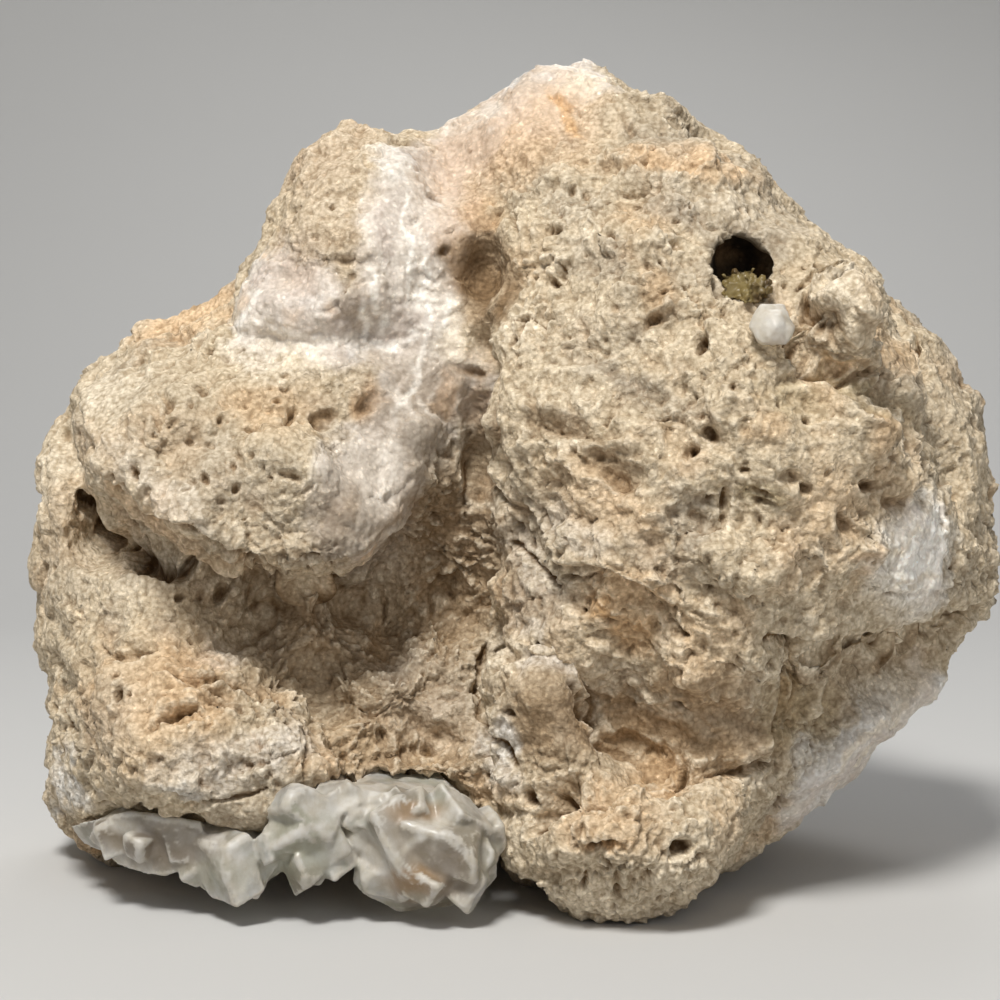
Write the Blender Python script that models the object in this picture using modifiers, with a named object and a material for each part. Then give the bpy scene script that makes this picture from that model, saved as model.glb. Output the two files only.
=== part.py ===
"""Calcite in limestone: a rough block of porous limestone about 20 cm wide, as it broke from its bed.

Lobes of rock with overhanging lower edges stand round a shaded recess. A vein of white calcite
spar runs down from the top edge, blocky calcite crystals hang under the lower left edge, and
smaller spar fills lie in the right side. Metres, +Z up, +X to the right and +Y away from the
side that shows the vein. The block rests on a flat patch of its underside at Z = 0.
"""
import itertools
import math

import bmesh
import bpy
from mathutils import Matrix, Vector, noise

MM = 0.001

# How far a pocket stands off from the calcite in it, at its corners, so that the pieces don't
# overlap; its faces stand off by a little less, mm
POCKET_SWELL = 0.45

# The broken surface
ROCK_VOXEL = 2.2       # size of the grid that fuses the lobes, mm
CUT_VOXEL = 1.3        # and of the grid that joins the hollows and cracks to them, mm
SMOOTH_ROUNDS = 3      # how often the fused lobes' edges are softened
LUMP_SPAN = 17.0       # spacing of the broad lumps, mm
LUMP_HEIGHT = 3.6      # and their height from lowest to highest, mm
KNOT_SPAN = 7.0        # spacing of the small knots, mm
KNOT_HEIGHT = 2.2      # and their height, mm
ROCK_FACES = 6150      # triangles that the finished limestone surface is brought down to
SPAR_FACES = 400       # and the outline of each calcite fill
SPAR_VOXEL = 1.8       # size of the grid that fuses a fill's parts, mm
SPAR_SPAN = 6.0        # spacing of the notches in its outline, mm
SPAR_HEIGHT = 1.4      # and their depth, mm
LUMP_SEED = 4
KNOT_SEED = 9
SPAR_SEED = 2
BALL_DETAIL = 2        # how finely the round knobs and hollows are divided
FLOOR_REACH = 130      # half-width of the block that cuts the underside flat, mm
FLOOR_DEPTH = 30       # and its thickness, mm

# Corners of the rock's lobes, in mm: (X across, Y away from the viewer, Z up)
RIGHT_MASS = [
    (6, -4, 165), (18, -2, 166), (29, -4, 161), (45, -6, 148), (56, -4, 137), (70, -6, 123),
    (-15, 2, 152), (-3, 2, 161), (-8, -14, 145), (10, -30, 138), (35, -32, 139), (1, -40, 109),
    (63, -36, 117), (74, -36, 102), (-2, -46, 91), (25, -46, 125), (60, -50, 105), (71, -46, 82),
    (73, -38, 56), (17, -58, 68), (22, -58, 91), (43, -60, 96), (59, -58, 78), (53, -53, 55),
    (33, -56, 53), (47, -42, 28), (23, -42, 32), (0, -38, 51), (-7, -16, 97), (-5, -16, 65),
    (96, -12, 58), (11, 40, 152), (62, 46, 118), (94, 44, 84), (94, 40, 57), (59, 30, 22),
    (2, 30, 26),
]
RIGHT_RIM = [
    (73, 2, 121), (78, 2, 116), (83, 2, 110), (89, 2, 106), (95, 2, 101), (97, 2, 92),
    (99, 2, 80), (101, 2, 62), (101, 2, 58), (82, -14, 111), (88, -16, 93), (91, -18, 77),
    (93, -18, 62), (79, -24, 65), (90, 30, 110), (98, 30, 79), (99, 30, 57), (79, 20, 97),
    (79, 20, 62),
]
RIGHT_FOOT = [
    (97, -8, 57), (91, -12, 53), (84, -16, 46), (80, -17, 40), (79, -17, 34), (72, -18, 27),
    (64, -18, 24), (53, -20, 19), (46, -20, 11), (42, -16, 4), (55, -32, 47), (52, -38, 28),
    (72, -27, 50), (90, -14, 55), (70, -28, 33), (91, 36, 46), (75, 40, 28), (53, 34, 5),
]
LEFT_SHOULDER = [
    (-89, -6, 98), (-84, -2, 105), (-78, 0, 111), (-66, 0, 116), (-57, 0, 119), (-84, -28, 91),
    (-78, -42, 85), (-71, -42, 91), (-64, -50, 76), (-52, -50, 69), (-33, -46, 67),
    (-22, -38, 74), (-59, -36, 100), (-35, -34, 104), (-14, -26, 96), (-79, -22, 73),
    (-61, -22, 60), (-34, -18, 57), (-86, 36, 93), (-59, 40, 113), (-21, 40, 108),
    (-21, 40, 57), (-89, 30, 57),
]
LEFT_RIM = [
    (-102, 4, 59), (-101, 2, 67), (-98, 2, 76), (-96, 2, 86), (-97, 4, 91), (-92, 2, 94),
    (-102, 4, 55), (-94, -8, 90), (-90, -16, 83), (-86, -24, 65), (-84, -26, 56), (-99, 2, 53),
    (-96, 30, 88), (-98, 30, 55), (-85, 20, 54),
]
UPPER_TOOTH = [
    (-54, -6, 119), (-51, -4, 128), (-49, -2, 136), (-47, 0, 142), (-44, 2, 146), (-41, 4, 151),
    (-35, 2, 154), (-31, 0, 154), (-23, -2, 151), (-17, 2, 150), (-44, -26, 125), (-36, -24, 137),
    (-22, -22, 141), (-35, -34, 111), (-15, -18, 136), (-13, -26, 110), (-52, -26, 111),
    (-46, 34, 144), (-21, 36, 149), (-16, 40, 113), (-55, 36, 117),
]
VALLEY = [
    (-17, 4, 149), (-9, -10, 144), (3, -20, 140), (-32, -28, 116), (1, -26, 106), (-32, -28, 94),
    (-3, -22, 81), (-5, -20, 62), (-22, -26, 72), (-18, -20, 56), (-19, 40, 142), (6, 40, 142),
    (6, 40, 61), (-19, 40, 61),
]
RECESS_FLOOR = [
    (-64, -20, 65), (-34, -20, 65), (-7, -14, 69), (-2, -22, 50), (-3, -34, 29), (-57, -40, 26),
    (-37, -14, 49), (-25, -38, 24), (-65, -26, 50), (-7, -36, 17), (-52, -34, 13), (-71, 44, 61),
    (-3, 46, 61), (-3, 40, 3), (-70, 36, 3),
]
LOWER_LEFT = [
    (-100, 2, 51), (-99, 2, 47), (-98, 2, 40), (-98, 2, 31), (-97, 2, 16), (-90, 0, 5),
    (-85, 2, 2), (-88, -26, 48), (-72, -36, 55), (-53, -34, 51), (-40, -42, 41), (-31, -44, 26),
    (-77, -46, 41), (-62, -52, 42), (-47, -52, 33), (-80, -42, 22), (-57, -52, 23),
    (-36, -46, 21), (-77, -32, 14), (-52, -38, 14), (-36, -30, 13), (-98, 34, 41), (-96, 34, 6),
    (-41, 36, 3), (-41, 34, 44),
]
TOOTH_BLOCK = [
    (-2, -40, 51), (5, -52, 48), (-7, -36, 44), (-6, -44, 37), (8, -56, 41), (14, -52, 34),
    (16, -46, 26), (-3, -46, 31), (8, -36, 49), (16, -36, 40), (-2, -46, 22), (12, -48, 22),
    (0, -30, 22), (16, -30, 22),
]
BOTTOM_LOBE = [
    (-5, -40, 17), (-3, -38, 6), (6, -44, 4), (15, -48, 2), (25, -46, -2), (30, -46, 1),
    (42, -36, 9), (49, -28, 20), (48, -38, 27), (22, -50, 30), (8, -52, 29), (-3, -44, 25),
    (9, -60, 19), (21, -64, 20), (32, -58, 17), (6, 30, -5), (38, 30, -5), (52, 30, 12),
    (2, 30, 18),
]
BACK = [
    (-44, 24, 142), (17, 26, 157), (68, 30, 116), (90, 30, 86), (92, 28, 55), (76, 28, 23),
    (41, 28, -2), (10, 26, -4), (-73, 26, 2), (-94, 22, 12), (-96, 22, 36), (-94, 22, 80),
    (-79, 24, 104), (-50, 60, 123), (11, 62, 147), (63, 62, 114), (82, 60, 69), (63, 60, 31),
    (11, 56, 13), (-62, 58, 13), (-86, 56, 46), (-78, 58, 86),
]
BASE = [
    (-58, 16, -4), (-54, 44, -4), (40, 44, -4), (42, 14, -4), (-74, 10, 22), (-68, 54, 30),
    (50, 54, 30), (56, 8, 22),
]
LEFT_WAIST = [
    (-92, -12, 64), (-85, -28, 66), (-68, -32, 64), (-50, -28, 62), (-46, -26, 48), (-70, -36, 52),
    (-88, -28, 50), (-80, 24, 66), (-50, 24, 48), (-92, 10, 50),
]
LOBES = {
    "right_mass": RIGHT_MASS,
    "right_rim": RIGHT_RIM,
    "right_foot": RIGHT_FOOT,
    "left_shoulder": LEFT_SHOULDER,
    "left_rim": LEFT_RIM,
    "upper_tooth": UPPER_TOOTH,
    "valley": VALLEY,
    "recess_floor": RECESS_FLOOR,
    "lower_left": LOWER_LEFT,
    "tooth_block": TOOTH_BLOCK,
    "bottom_lobe": BOTTOM_LOBE,
    "back": BACK,
    "base": BASE,
    "left_waist": LEFT_WAIST,
}
# Round knobs that stand out from the lobes: (centre, half-sizes) in mm
KNOBS = {
    "knob_by_vug": ((59.5, -49, 111), (7.0, 8.0, 7.5)),
    "bump_on_face": ((60, -54, 90), (9, 7, 8)),
    "bump_low": ((40, -57, 68), (12, 6, 9)),
    "bump_shoulder": ((-46, -42, 82), (14, 8, 10)),
    "bump_lower_left": ((-60, -47, 32), (14, 7, 9)),
}

# Round hollows: (centre, half-sizes) in mm
BOWLS = {
    "vug": ((42, -47, 121.5), (5.8, 14, 6.6)),
    "valley_hollow": ((-6.5, -29, 122), (5.0, 9.0, 8.0)),
    "slot_pit": ((-40, -27, 62), (3.2, 6.0, 2.4)),
    "knob_hollow": ((60, -57, 112), (3.4, 3.0, 3.0)),
    "pit_below_vug": ((34, -56, 106), (1.7, 3.5, 2.0)),
    "pit_middle": ((36, -61, 90), (1.9, 3.5, 1.5)),
    "pit_right": ((51, -60, 83), (2.6, 3.2, 1.7)),
    "pit_lower_lobe": ((30, -60, 16), (2.1, 3.4, 1.5)),
    "pit_lower_left": ((-73, -48, 41), (1.6, 3.2, 1.7)),
}
CRACK_LEAD = 6         # how far a crack's cutter stands in front of the surface, mm
CRACK_TAPER = 0.2      # how much shorter a crack is at its bottom
# Cracks: (one end, other end, depth, height) in mm; each end is on the surface
CRACKS = {
    "shoulder_crack": ((-81, -38, 79), (-60, -44, 64), 22, 3.4),
    "shoulder_edge": ((-76, -44, 82), (-48, -48, 66), 7, 1.8),
    "valley_crack": ((-4, -40, 90), (1, -44, 73), 18, 2.4),
    "knob_crack": ((49, -52, 107), (60, -52, 102), 12, 3.2),
    "lobe_crack": ((5, -56, 30), (9, -58, 17), 14, 2.6),
    "foot_crack": ((52, -44, 50), (95, -14, 56), 22, 3.0),
    "ledge_left": ((-66, -50, 39), (-56, -54, 37), 9, 2.4),
}

# Where calcite fills the rock: outlines in mm (X, Z), then the Y from which each fill starts in
# front of the surface and the Y at which it begins to close behind it
VEIN_COLUMN = [(-29, 138), (-24, 148), (-16, 154), (-9, 142), (-8, 125), (-10, 106), (-26, 105),
               (-30, 120)]
VEIN_WING = [(-54, 111), (-54, 121), (-48, 128), (-40, 118), (-28, 116), (-27, 104), (-40, 101),
             (-50, 106)]
VEIN_FAN = [(-28, 109), (-8, 108), (-5, 98), (-8, 92), (-20, 85), (-28, 92)]
VEIN_TONGUE = [(-26, 93), (-19, 90), (-19, 78), (-24, 66), (-32, 66), (-38, 78), (-36, 86)]
VEIN_TOP = [(-18, 150), (-5, 163), (6, 168), (19, 171), (20, 158), (6, 150), (-5, 143), (-13, 140)]
VEIN = [
    (VEIN_COLUMN, -60, -12),
    (VEIN_WING, -60, -18),
    (VEIN_FAN, -60, -18),
    (VEIN_TONGUE, -60, -20),
    (VEIN_TOP, -60, -4),
]
PATCH = [([(70, 60), (68, 68), (72, 77), (78, 76), (82, 66), (79, 57)], -60, -26)]
EDGE_BAND = [([(52, 20), (56, 27), (68, 34), (80, 45), (88, 42), (80, 26), (66, 12), (52, 12)],
              -40, -6)]
FILL_TAIL = 14         # how far behind that a fill closes to a narrow root, mm
FILL_ROOT = 0.35       # size of the root against the outline

# Blocky calcite crystals under the lower left edge, in mm
CRYSTAL_FRONT = [
    (-43, -46, 25), (-36, -47, 26), (-33, -48, 23), (-34, -51, 19), (-38, -53, 14), (-42, -53, 14),
    (-46, -50, 16), (-39, -54, 21), (-42, -30, 24), (-34, -30, 20), (-44, -32, 12),
]
CRYSTAL_LOW = [
    (-43, -46, 14), (-42, -46, 9), (-40, -45, 6), (-36, -46, 6), (-33, -48, 10), (-31, -46, 16),
    (-33, -50, 18), (-38, -52, 12), (-40, -26, 10), (-33, -26, 14), (-36, -28, 20),
]
CRYSTAL_LEFT = [
    (-62, -42, 10), (-60, -46, 15), (-54, -49, 16), (-47, -49, 15), (-42, -48, 14), (-43, -47, 9),
    (-47, -46, 6), (-54, -46, 5), (-58, -43, 5), (-52, -51, 11), (-58, -26, 12), (-40, -24, 14),
    (-52, -24, 20), (-42, -30, 20),
]
CRYSTAL_BIG = [
    (-30, -44, 23), (-30, -47, 16), (-29, -48, 11), (-29, -46, 5), (-22, -44, 1), (-13, -45, 2),
    (-6, -44, 4), (-3, -42, 7), (-4, -44, 18), (-8, -47, 22), (-16, -55, 17), (-22, -54, 12),
    (-12, -54, 8), (-26, -24, 14), (-8, -22, 14), (-16, -26, 26), (-18, -24, 3),
]
CRYSTAL_RIDGE = [
    (-31, -46, 26), (-25, -49, 25), (-18, -50, 24), (-12, -48, 23), (-14, -52, 19), (-22, -54, 17),
    (-30, -51, 19), (-28, -30, 26), (-14, -30, 24), (-20, -32, 14),
]
CRYSTAL_SMALL = [
    (-36, -48, 27), (-31, -49, 27), (-28, -51, 23), (-33, -52, 20), (-38, -50, 24), (-33, -34, 26),
    (-37, -34, 20), (-28, -34, 20),
]
CRUST_LEFT = [
    (-80, -36, 17), (-72, -42, 20), (-58, -47, 19), (-56, -46, 11), (-66, -42, 7), (-75, -37, 8),
    (-83, -30, 12), (-74, -18, 14), (-56, -22, 13),
]
CRUST_TIP = [
    (-87, -26, 14), (-80, -34, 17), (-72, -38, 12), (-76, -32, 8), (-85, -22, 9), (-80, -12, 12),
    (-70, -20, 14),
]
CLUSTER = {
    "front": CRYSTAL_FRONT,
    "low": CRYSTAL_LOW,
    "left": CRYSTAL_LEFT,
    "big": CRYSTAL_BIG,
    "ridge": CRYSTAL_RIDGE,
    "small": CRYSTAL_SMALL,
    "crust": CRUST_LEFT,
    "crust_tip": CRUST_TIP,
}

# The single rounded crystal beside the hollow, in mm
SINGLE_CRYSTAL = [
    (43, -57, 109), (45, -59, 106), (49, -59, 106), (51, -57, 109), (49, -56, 113), (45, -56, 113),
    (47, -61, 109), (45, -50, 107), (50, -50, 110), (46, -50, 112),
]
RHOMB_LEAN = 0.3       # how far a small crystal's faces lean, against its height
RHOMB_TURN = 0.7       # how far each one is turned from the last, radians
# Small crystals on the floor of the round hollow: (centre, half-size) in mm
VUG_CRUST = [
    ((39.6, -49.0, 116.6), 1.5), ((42.2, -50.5, 115.9), 1.7), ((44.8, -48.5, 116.8), 1.4),
    ((40.6, -46.0, 116.9), 1.6), ((43.4, -45.4, 117.0), 1.7), ((42.0, -42.4, 117.8), 1.8),
]


def mm(point):
    """A point given in millimetres, in metres."""
    return Vector(point) * MM


def clear_scene():
    for thing in list(bpy.data.objects):
        bpy.data.objects.remove(thing, do_unlink=True)


def make_collection(name):
    group = bpy.data.collections.new(name)
    bpy.context.scene.collection.children.link(group)
    return group


def make_material(name, colour, roughness, transmission=0.0, ior=1.5):
    paint = bpy.data.materials.new(name)
    paint.use_nodes = True
    shader = paint.node_tree.nodes["Principled BSDF"]
    shader.inputs["Base Color"].default_value = (*colour, 1.0)
    shader.inputs["Roughness"].default_value = roughness
    shader.inputs["Metallic"].default_value = 0.0
    shader.inputs["Transmission Weight"].default_value = transmission
    shader.inputs["IOR"].default_value = ior
    paint.diffuse_color = (*colour, 1.0)
    return paint


def add_object(name, mesh, group):
    thing = bpy.data.objects.new(name, mesh)
    group.objects.link(thing)
    return thing


def hull_mesh(name, solids):
    """One mesh with the convex block round each list of corners (mm)."""
    mesh = bpy.data.meshes.new(name)
    whole = bmesh.new()
    for corners in solids:
        block = bmesh.new()
        for corner in corners:
            block.verts.new(mm(corner))
        hull = bmesh.ops.convex_hull(block, input=block.verts)
        unused = [v for v in hull["geom_interior"] if isinstance(v, bmesh.types.BMVert)]
        bmesh.ops.delete(block, geom=unused, context="VERTS")
        part = bpy.data.meshes.new(name + "_block")
        block.to_mesh(part)
        block.free()
        whole.from_mesh(part)
        bpy.data.meshes.remove(part)
    bmesh.ops.recalc_face_normals(whole, faces=whole.faces)
    whole.to_mesh(mesh)
    whole.free()
    return mesh


def join_mesh(thing, extra):
    """Adds a mesh's faces to the object's own."""
    work = bmesh.new()
    work.from_mesh(thing.data)
    work.from_mesh(extra)
    work.to_mesh(thing.data)
    work.free()
    bpy.data.meshes.remove(extra)


def apply_modifiers(thing):
    """Keeps the shape that the object's modifiers give it and clears them."""
    depsgraph = bpy.context.evaluated_depsgraph_get()
    shaped = bpy.data.meshes.new_from_object(thing.evaluated_get(depsgraph))
    thing.modifiers.clear()
    thing.data = shaped


def fuse(thing, voxel):
    """Joins overlapping blocks into one solid on a grid of the given size (mm)."""
    remesh = thing.modifiers.new("fuse", "REMESH")
    remesh.mode = "VOXEL"
    remesh.voxel_size = voxel * MM
    apply_modifiers(thing)


def soften(thing, rounds):
    smooth = thing.modifiers.new("soften", "SMOOTH")
    smooth.factor = 0.5
    smooth.iterations = rounds
    apply_modifiers(thing)


def roughen(thing, span, height, seed):
    """Raises and lowers the surface by a seeded noise with the given spacing and height (mm)."""
    offset = Vector((seed * 3.1, seed * 1.7, seed * 2.3))
    work = bmesh.new()
    work.from_mesh(thing.data)
    work.normal_update()
    moves = []
    for vert in work.verts:
        lift = noise.noise(vert.co / (span * MM) + offset)
        moves.append(vert.normal * lift * height * MM)
    for vert, move in zip(work.verts, moves):
        vert.co += move
    work.to_mesh(thing.data)
    work.free()


def thin_out(thing, faces):
    """Brings the mesh down to about the given number of triangles, keeping its shape."""
    count = sum(len(p.vertices) - 2 for p in thing.data.polygons)
    decimate = thing.modifiers.new("thin_out", "DECIMATE")
    decimate.ratio = min(1.0, faces / count)
    decimate.use_collapse_triangulate = True
    apply_modifiers(thing)


def boolean(thing, cutter, operation):
    step = thing.modifiers.new("boolean", "BOOLEAN")
    step.operation = operation
    step.solver = "EXACT"
    step.object = cutter
    apply_modifiers(thing)


def keep_largest(thing):
    """Removes the loose crumbs that a cut left, and splits every face into triangles."""
    work = bmesh.new()
    work.from_mesh(thing.data)
    islands = []
    seen = set()
    for start in work.verts:
        if start in seen:
            continue
        seen.add(start)
        island = [start]
        for vert in island:
            for edge in vert.link_edges:
                other = edge.other_vert(vert)
                if other not in seen:
                    seen.add(other)
                    island.append(other)
        islands.append(island)
    islands.sort(key=len)
    for island in islands[:-1]:
        bmesh.ops.delete(work, geom=island, context="VERTS")
    bmesh.ops.triangulate(work, faces=work.faces)
    work.to_mesh(thing.data)
    work.free()


def ball_mesh(name, balls):
    """One mesh with an egg-shaped ball for each (centre, half-sizes) in mm."""
    mesh = bpy.data.meshes.new(name)
    work = bmesh.new()
    for centre, sizes in balls:
        made = bmesh.ops.create_icosphere(work, subdivisions=BALL_DETAIL, radius=1.0)
        for vert in made["verts"]:
            scaled = [c * s for c, s in zip(vert.co, sizes)]
            vert.co = mm(centre) + mm(scaled)
    work.to_mesh(mesh)
    work.free()
    return mesh


def crack_corners(start, end, depth, height):
    """Corners of a wedge that is widest at the surface and runs out to a line inside the rock."""
    a, b = Vector(start), Vector(end)
    inward = Vector((0, 1, 0))
    across = (b - a).cross(inward).normalized() * height / 2
    middle = (a + b) / 2
    corners = []
    for point in (a, b):
        for shift in (inward * -CRACK_LEAD, Vector()):
            corners += [point + shift + across, point + shift - across]
        corners.append(point.lerp(middle, CRACK_TAPER) + inward * depth)
    return corners


def prism_corners(outline, front, back):
    """Corners of a block with the same outline (X, Z) at its front and its back."""
    return [(x, y, z) for y in (front, back) for x, z in outline]


def fill_corners(outline, front, back):
    """Corners of a block with the given outline that narrows to a root behind its back."""
    centre_x = sum(x for x, z in outline) / len(outline)
    centre_z = sum(z for x, z in outline) / len(outline)
    root = [(centre_x + (x - centre_x) * FILL_ROOT, back + FILL_TAIL,
             centre_z + (z - centre_z) * FILL_ROOT) for x, z in outline]
    return prism_corners(outline, front, back) + root


def build_rock(tools):
    """The whole block, before the calcite's pockets are cut."""
    rock = add_object("rock_body", hull_mesh("rock_body", LOBES.values()), tools)
    join_mesh(rock, ball_mesh("knobs", KNOBS.values()))
    fuse(rock, ROCK_VOXEL)
    soften(rock, SMOOTH_ROUNDS)
    roughen(rock, LUMP_SPAN, LUMP_HEIGHT, LUMP_SEED)
    roughen(rock, KNOT_SPAN, KNOT_HEIGHT, KNOT_SEED)
    bowls = add_object("bowls", ball_mesh("bowls", BOWLS.values()), tools)
    boolean(rock, bowls, "DIFFERENCE")
    for name, (start, end, depth, height) in CRACKS.items():
        wedge = add_object(name, hull_mesh(name, [crack_corners(start, end, depth, height)]), tools)
        boolean(rock, wedge, "DIFFERENCE")
    fuse(rock, CUT_VOXEL)
    keep_largest(rock)
    thin_out(rock, ROCK_FACES)
    outline = [(x, z) for x in (-FLOOR_REACH, FLOOR_REACH) for z in (-FLOOR_DEPTH, 0)]
    block = prism_corners(outline, -FLOOR_REACH, FLOOR_REACH)
    floor = add_object("floor", hull_mesh("floor", [block]), tools)
    boolean(rock, floor, "DIFFERENCE")
    keep_largest(rock)
    return rock


def build_zone(name, blocks, tools):
    """The room that a calcite fill takes up, with the ragged outline of a grown vein."""
    corners = [fill_corners(*block) for block in blocks]
    zone = add_object(name, hull_mesh(name, corners), tools)
    fuse(zone, SPAR_VOXEL)
    soften(zone, SMOOTH_ROUNDS - 1)
    roughen(zone, SPAR_SPAN, SPAR_HEIGHT, SPAR_SEED)
    thin_out(zone, SPAR_FACES)
    return zone


def swollen(thing, tools):
    """A copy of a solid that stands off from it by the clearance, for cutting its pocket."""
    copy = add_object(thing.name + "_pocket", thing.data.copy(), tools)
    step = copy.modifiers.new("swell", "DISPLACE")
    step.strength = POCKET_SWELL * MM
    step.mid_level = 0.0
    apply_modifiers(copy)
    return copy


def build_fill(name, rock, zone, stone, group):
    """A calcite fill: the part of the block that lies in its zone."""
    fill = add_object(name, rock.data.copy(), group)
    boolean(fill, zone, "INTERSECT")
    keep_largest(fill)
    fill.data.materials.clear()
    fill.data.materials.append(stone)
    return fill


def build_crystals(name, blocks, stone, group, tools):
    """Flat-faced crystals that grew into each other, joined in one solid; also gives its blocks."""
    shapes = [add_object(f"{name}_{i}", hull_mesh(name, [block]), tools)
              for i, block in enumerate(blocks)]
    cluster = add_object(name, shapes[0].data.copy(), group)
    for shape in shapes[1:]:
        boolean(cluster, shape, "UNION")
    keep_largest(cluster)
    cluster.data.materials.clear()
    cluster.data.materials.append(stone)
    return shapes


def rhomb_corners(centre, half, turn):
    """Corners of a small leaning block with the slanted faces of a calcite rhomb."""
    corners = []
    for x, y, z in itertools.product((-half, half), repeat=3):
        lean = x + RHOMB_LEAN * z
        turned = (lean * math.cos(turn) - y * math.sin(turn),
                  lean * math.sin(turn) + y * math.cos(turn), z + RHOMB_LEAN * y)
        corners.append(tuple(c + t for c, t in zip(centre, turned)))
    return corners


def build_vug_crust(stone, group, tools):
    blocks = [rhomb_corners(centre, half, i * RHOMB_TURN)
              for i, (centre, half) in enumerate(VUG_CRUST)]
    return build_crystals("calcite_vug_crust", blocks, stone, group, tools)


def build_limestone(rock, cutters, stone, group):
    """The limestone: the block less the pockets that its calcite sits in."""
    limestone = add_object("limestone_matrix", rock.data.copy(), group)
    for cutter in cutters:
        boolean(limestone, cutter, "DIFFERENCE")
    keep_largest(limestone)
    limestone.data.materials.clear()
    limestone.data.materials.append(stone)
    return limestone


def stand_on_origin(group):
    """Moves the whole specimen so that the middle of its box stands over the origin."""
    corners = [vert.co for thing in group.objects for vert in thing.data.vertices]
    middle_x = (min(c.x for c in corners) + max(c.x for c in corners)) / 2
    middle_y = (min(c.y for c in corners) + max(c.y for c in corners)) / 2
    lowest = min(c.z for c in corners)
    for thing in group.objects:
        thing.data.transform(Matrix.Translation((-middle_x, -middle_y, -lowest)))


def main():
    clear_scene()
    group = make_collection("calcite_in_limestone")
    tools = make_collection("cutters")
    tan = make_material("tan_limestone", (0.55, 0.46, 0.34), 0.92)
    white = make_material("white_spar", (0.88, 0.86, 0.82), 0.4)
    clear = make_material("clear_calcite", (0.84, 0.88, 0.83), 0.2, 0.4, 1.6)
    yellow = make_material("yellow_calcite", (0.62, 0.60, 0.38), 0.35)

    rock = build_rock(tools)
    vein_zone = build_zone("vein_zone", VEIN, tools)
    patch_zone = build_zone("patch_zone", PATCH, tools)
    band_zone = build_zone("band_zone", EDGE_BAND, tools)
    build_fill("calcite_spar_vein", rock, vein_zone, white, group)
    build_fill("calcite_spar_patch", rock, patch_zone, white, group)
    build_fill("calcite_edge_band", rock, band_zone, white, group)
    cluster = build_crystals("calcite_crystal_cluster", CLUSTER.values(), clear, group, tools)
    single = build_crystals("calcite_single_crystal", [SINGLE_CRYSTAL], clear, group, tools)
    crust = build_vug_crust(yellow, group, tools)
    zones = [vein_zone, patch_zone, band_zone]
    pockets = [swollen(thing, tools) for thing in (*zones, *cluster, *single, *crust)]
    build_limestone(rock, pockets + zones, tan, group)
    stand_on_origin(group)
    for tool in tools.objects:
        tool.hide_render = True
        tool.display_type = "WIRE"


main()
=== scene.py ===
"""Looks of a block of porous limestone with white calcite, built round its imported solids.

The rock and the spar in it get one fine broken surface, with lumps, ledges, cracks, pits and
grains, and each piece takes its own share of it. Lengths are millimetres unless a comment says
otherwise. Places on the front are given by where they show to the camera, in pixels across and
down a picture of 1000 by 1000.
"""
import itertools
import math

import bmesh
import bpy
import numpy as np
from mathutils import Euler, Matrix, Vector
from mathutils.bvhtree import BVHTree


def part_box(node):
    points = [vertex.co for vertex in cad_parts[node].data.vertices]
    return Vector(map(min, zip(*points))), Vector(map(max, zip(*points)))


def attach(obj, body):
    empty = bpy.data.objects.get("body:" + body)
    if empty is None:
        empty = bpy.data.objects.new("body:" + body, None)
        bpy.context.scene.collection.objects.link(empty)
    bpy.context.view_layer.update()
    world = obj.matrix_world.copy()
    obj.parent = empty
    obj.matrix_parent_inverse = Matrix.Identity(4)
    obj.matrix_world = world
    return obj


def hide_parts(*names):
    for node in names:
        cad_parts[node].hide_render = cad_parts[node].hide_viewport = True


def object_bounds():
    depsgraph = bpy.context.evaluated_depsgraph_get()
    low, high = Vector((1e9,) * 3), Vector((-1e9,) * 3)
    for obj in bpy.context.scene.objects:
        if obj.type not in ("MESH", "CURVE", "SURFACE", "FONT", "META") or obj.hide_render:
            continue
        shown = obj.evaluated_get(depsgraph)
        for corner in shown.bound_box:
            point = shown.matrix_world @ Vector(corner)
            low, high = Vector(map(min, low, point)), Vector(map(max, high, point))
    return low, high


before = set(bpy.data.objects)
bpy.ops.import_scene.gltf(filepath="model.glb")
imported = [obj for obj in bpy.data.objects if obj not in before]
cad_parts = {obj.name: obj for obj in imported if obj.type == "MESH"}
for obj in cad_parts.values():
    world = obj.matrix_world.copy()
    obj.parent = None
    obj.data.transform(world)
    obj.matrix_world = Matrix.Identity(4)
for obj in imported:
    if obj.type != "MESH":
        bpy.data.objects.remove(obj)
cad_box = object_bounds()

MM = 0.001

SPAR_NODES = ["calcite_spar_vein", "calcite_spar_patch", "calcite_edge_band"]

# The camera
PICTURE = 1000
LENS = 72.0
SENSOR = 36.0
FOCAL = PICTURE * LENS / SENSOR
CAMERA_AT = np.array([-3.1, -412.4, 92.0])
CAMERA_DIP = math.radians(2.2)

# The fine surface
ROCK_VOXEL = 0.95      # size of the grid that joins the rock and the spar
ROCK_ROUNDS = 12       # how often the joined surface is softened
SPAR_SWELL = 0.6       # how far the spar is swollen so that it joins the rock
FRONT_DEPTH = 15.0     # how far back the front's finer faces reach, from Y = 0
SHADE_DEPTH = 9.0      # how far behind the nearest surface a point still counts as seen
LATTICE = 48           # size of the blocks of random numbers that the noise reads
FRONT_BANDS = (-PICTURE, 270, 480, 690, 2 * PICTURE)   # limits across of the front pieces
SPAR_REACH = 8.0       # how far from a spar its depth is still measured
SKIN = 2.5             # thickness of the spar's pieces

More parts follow.
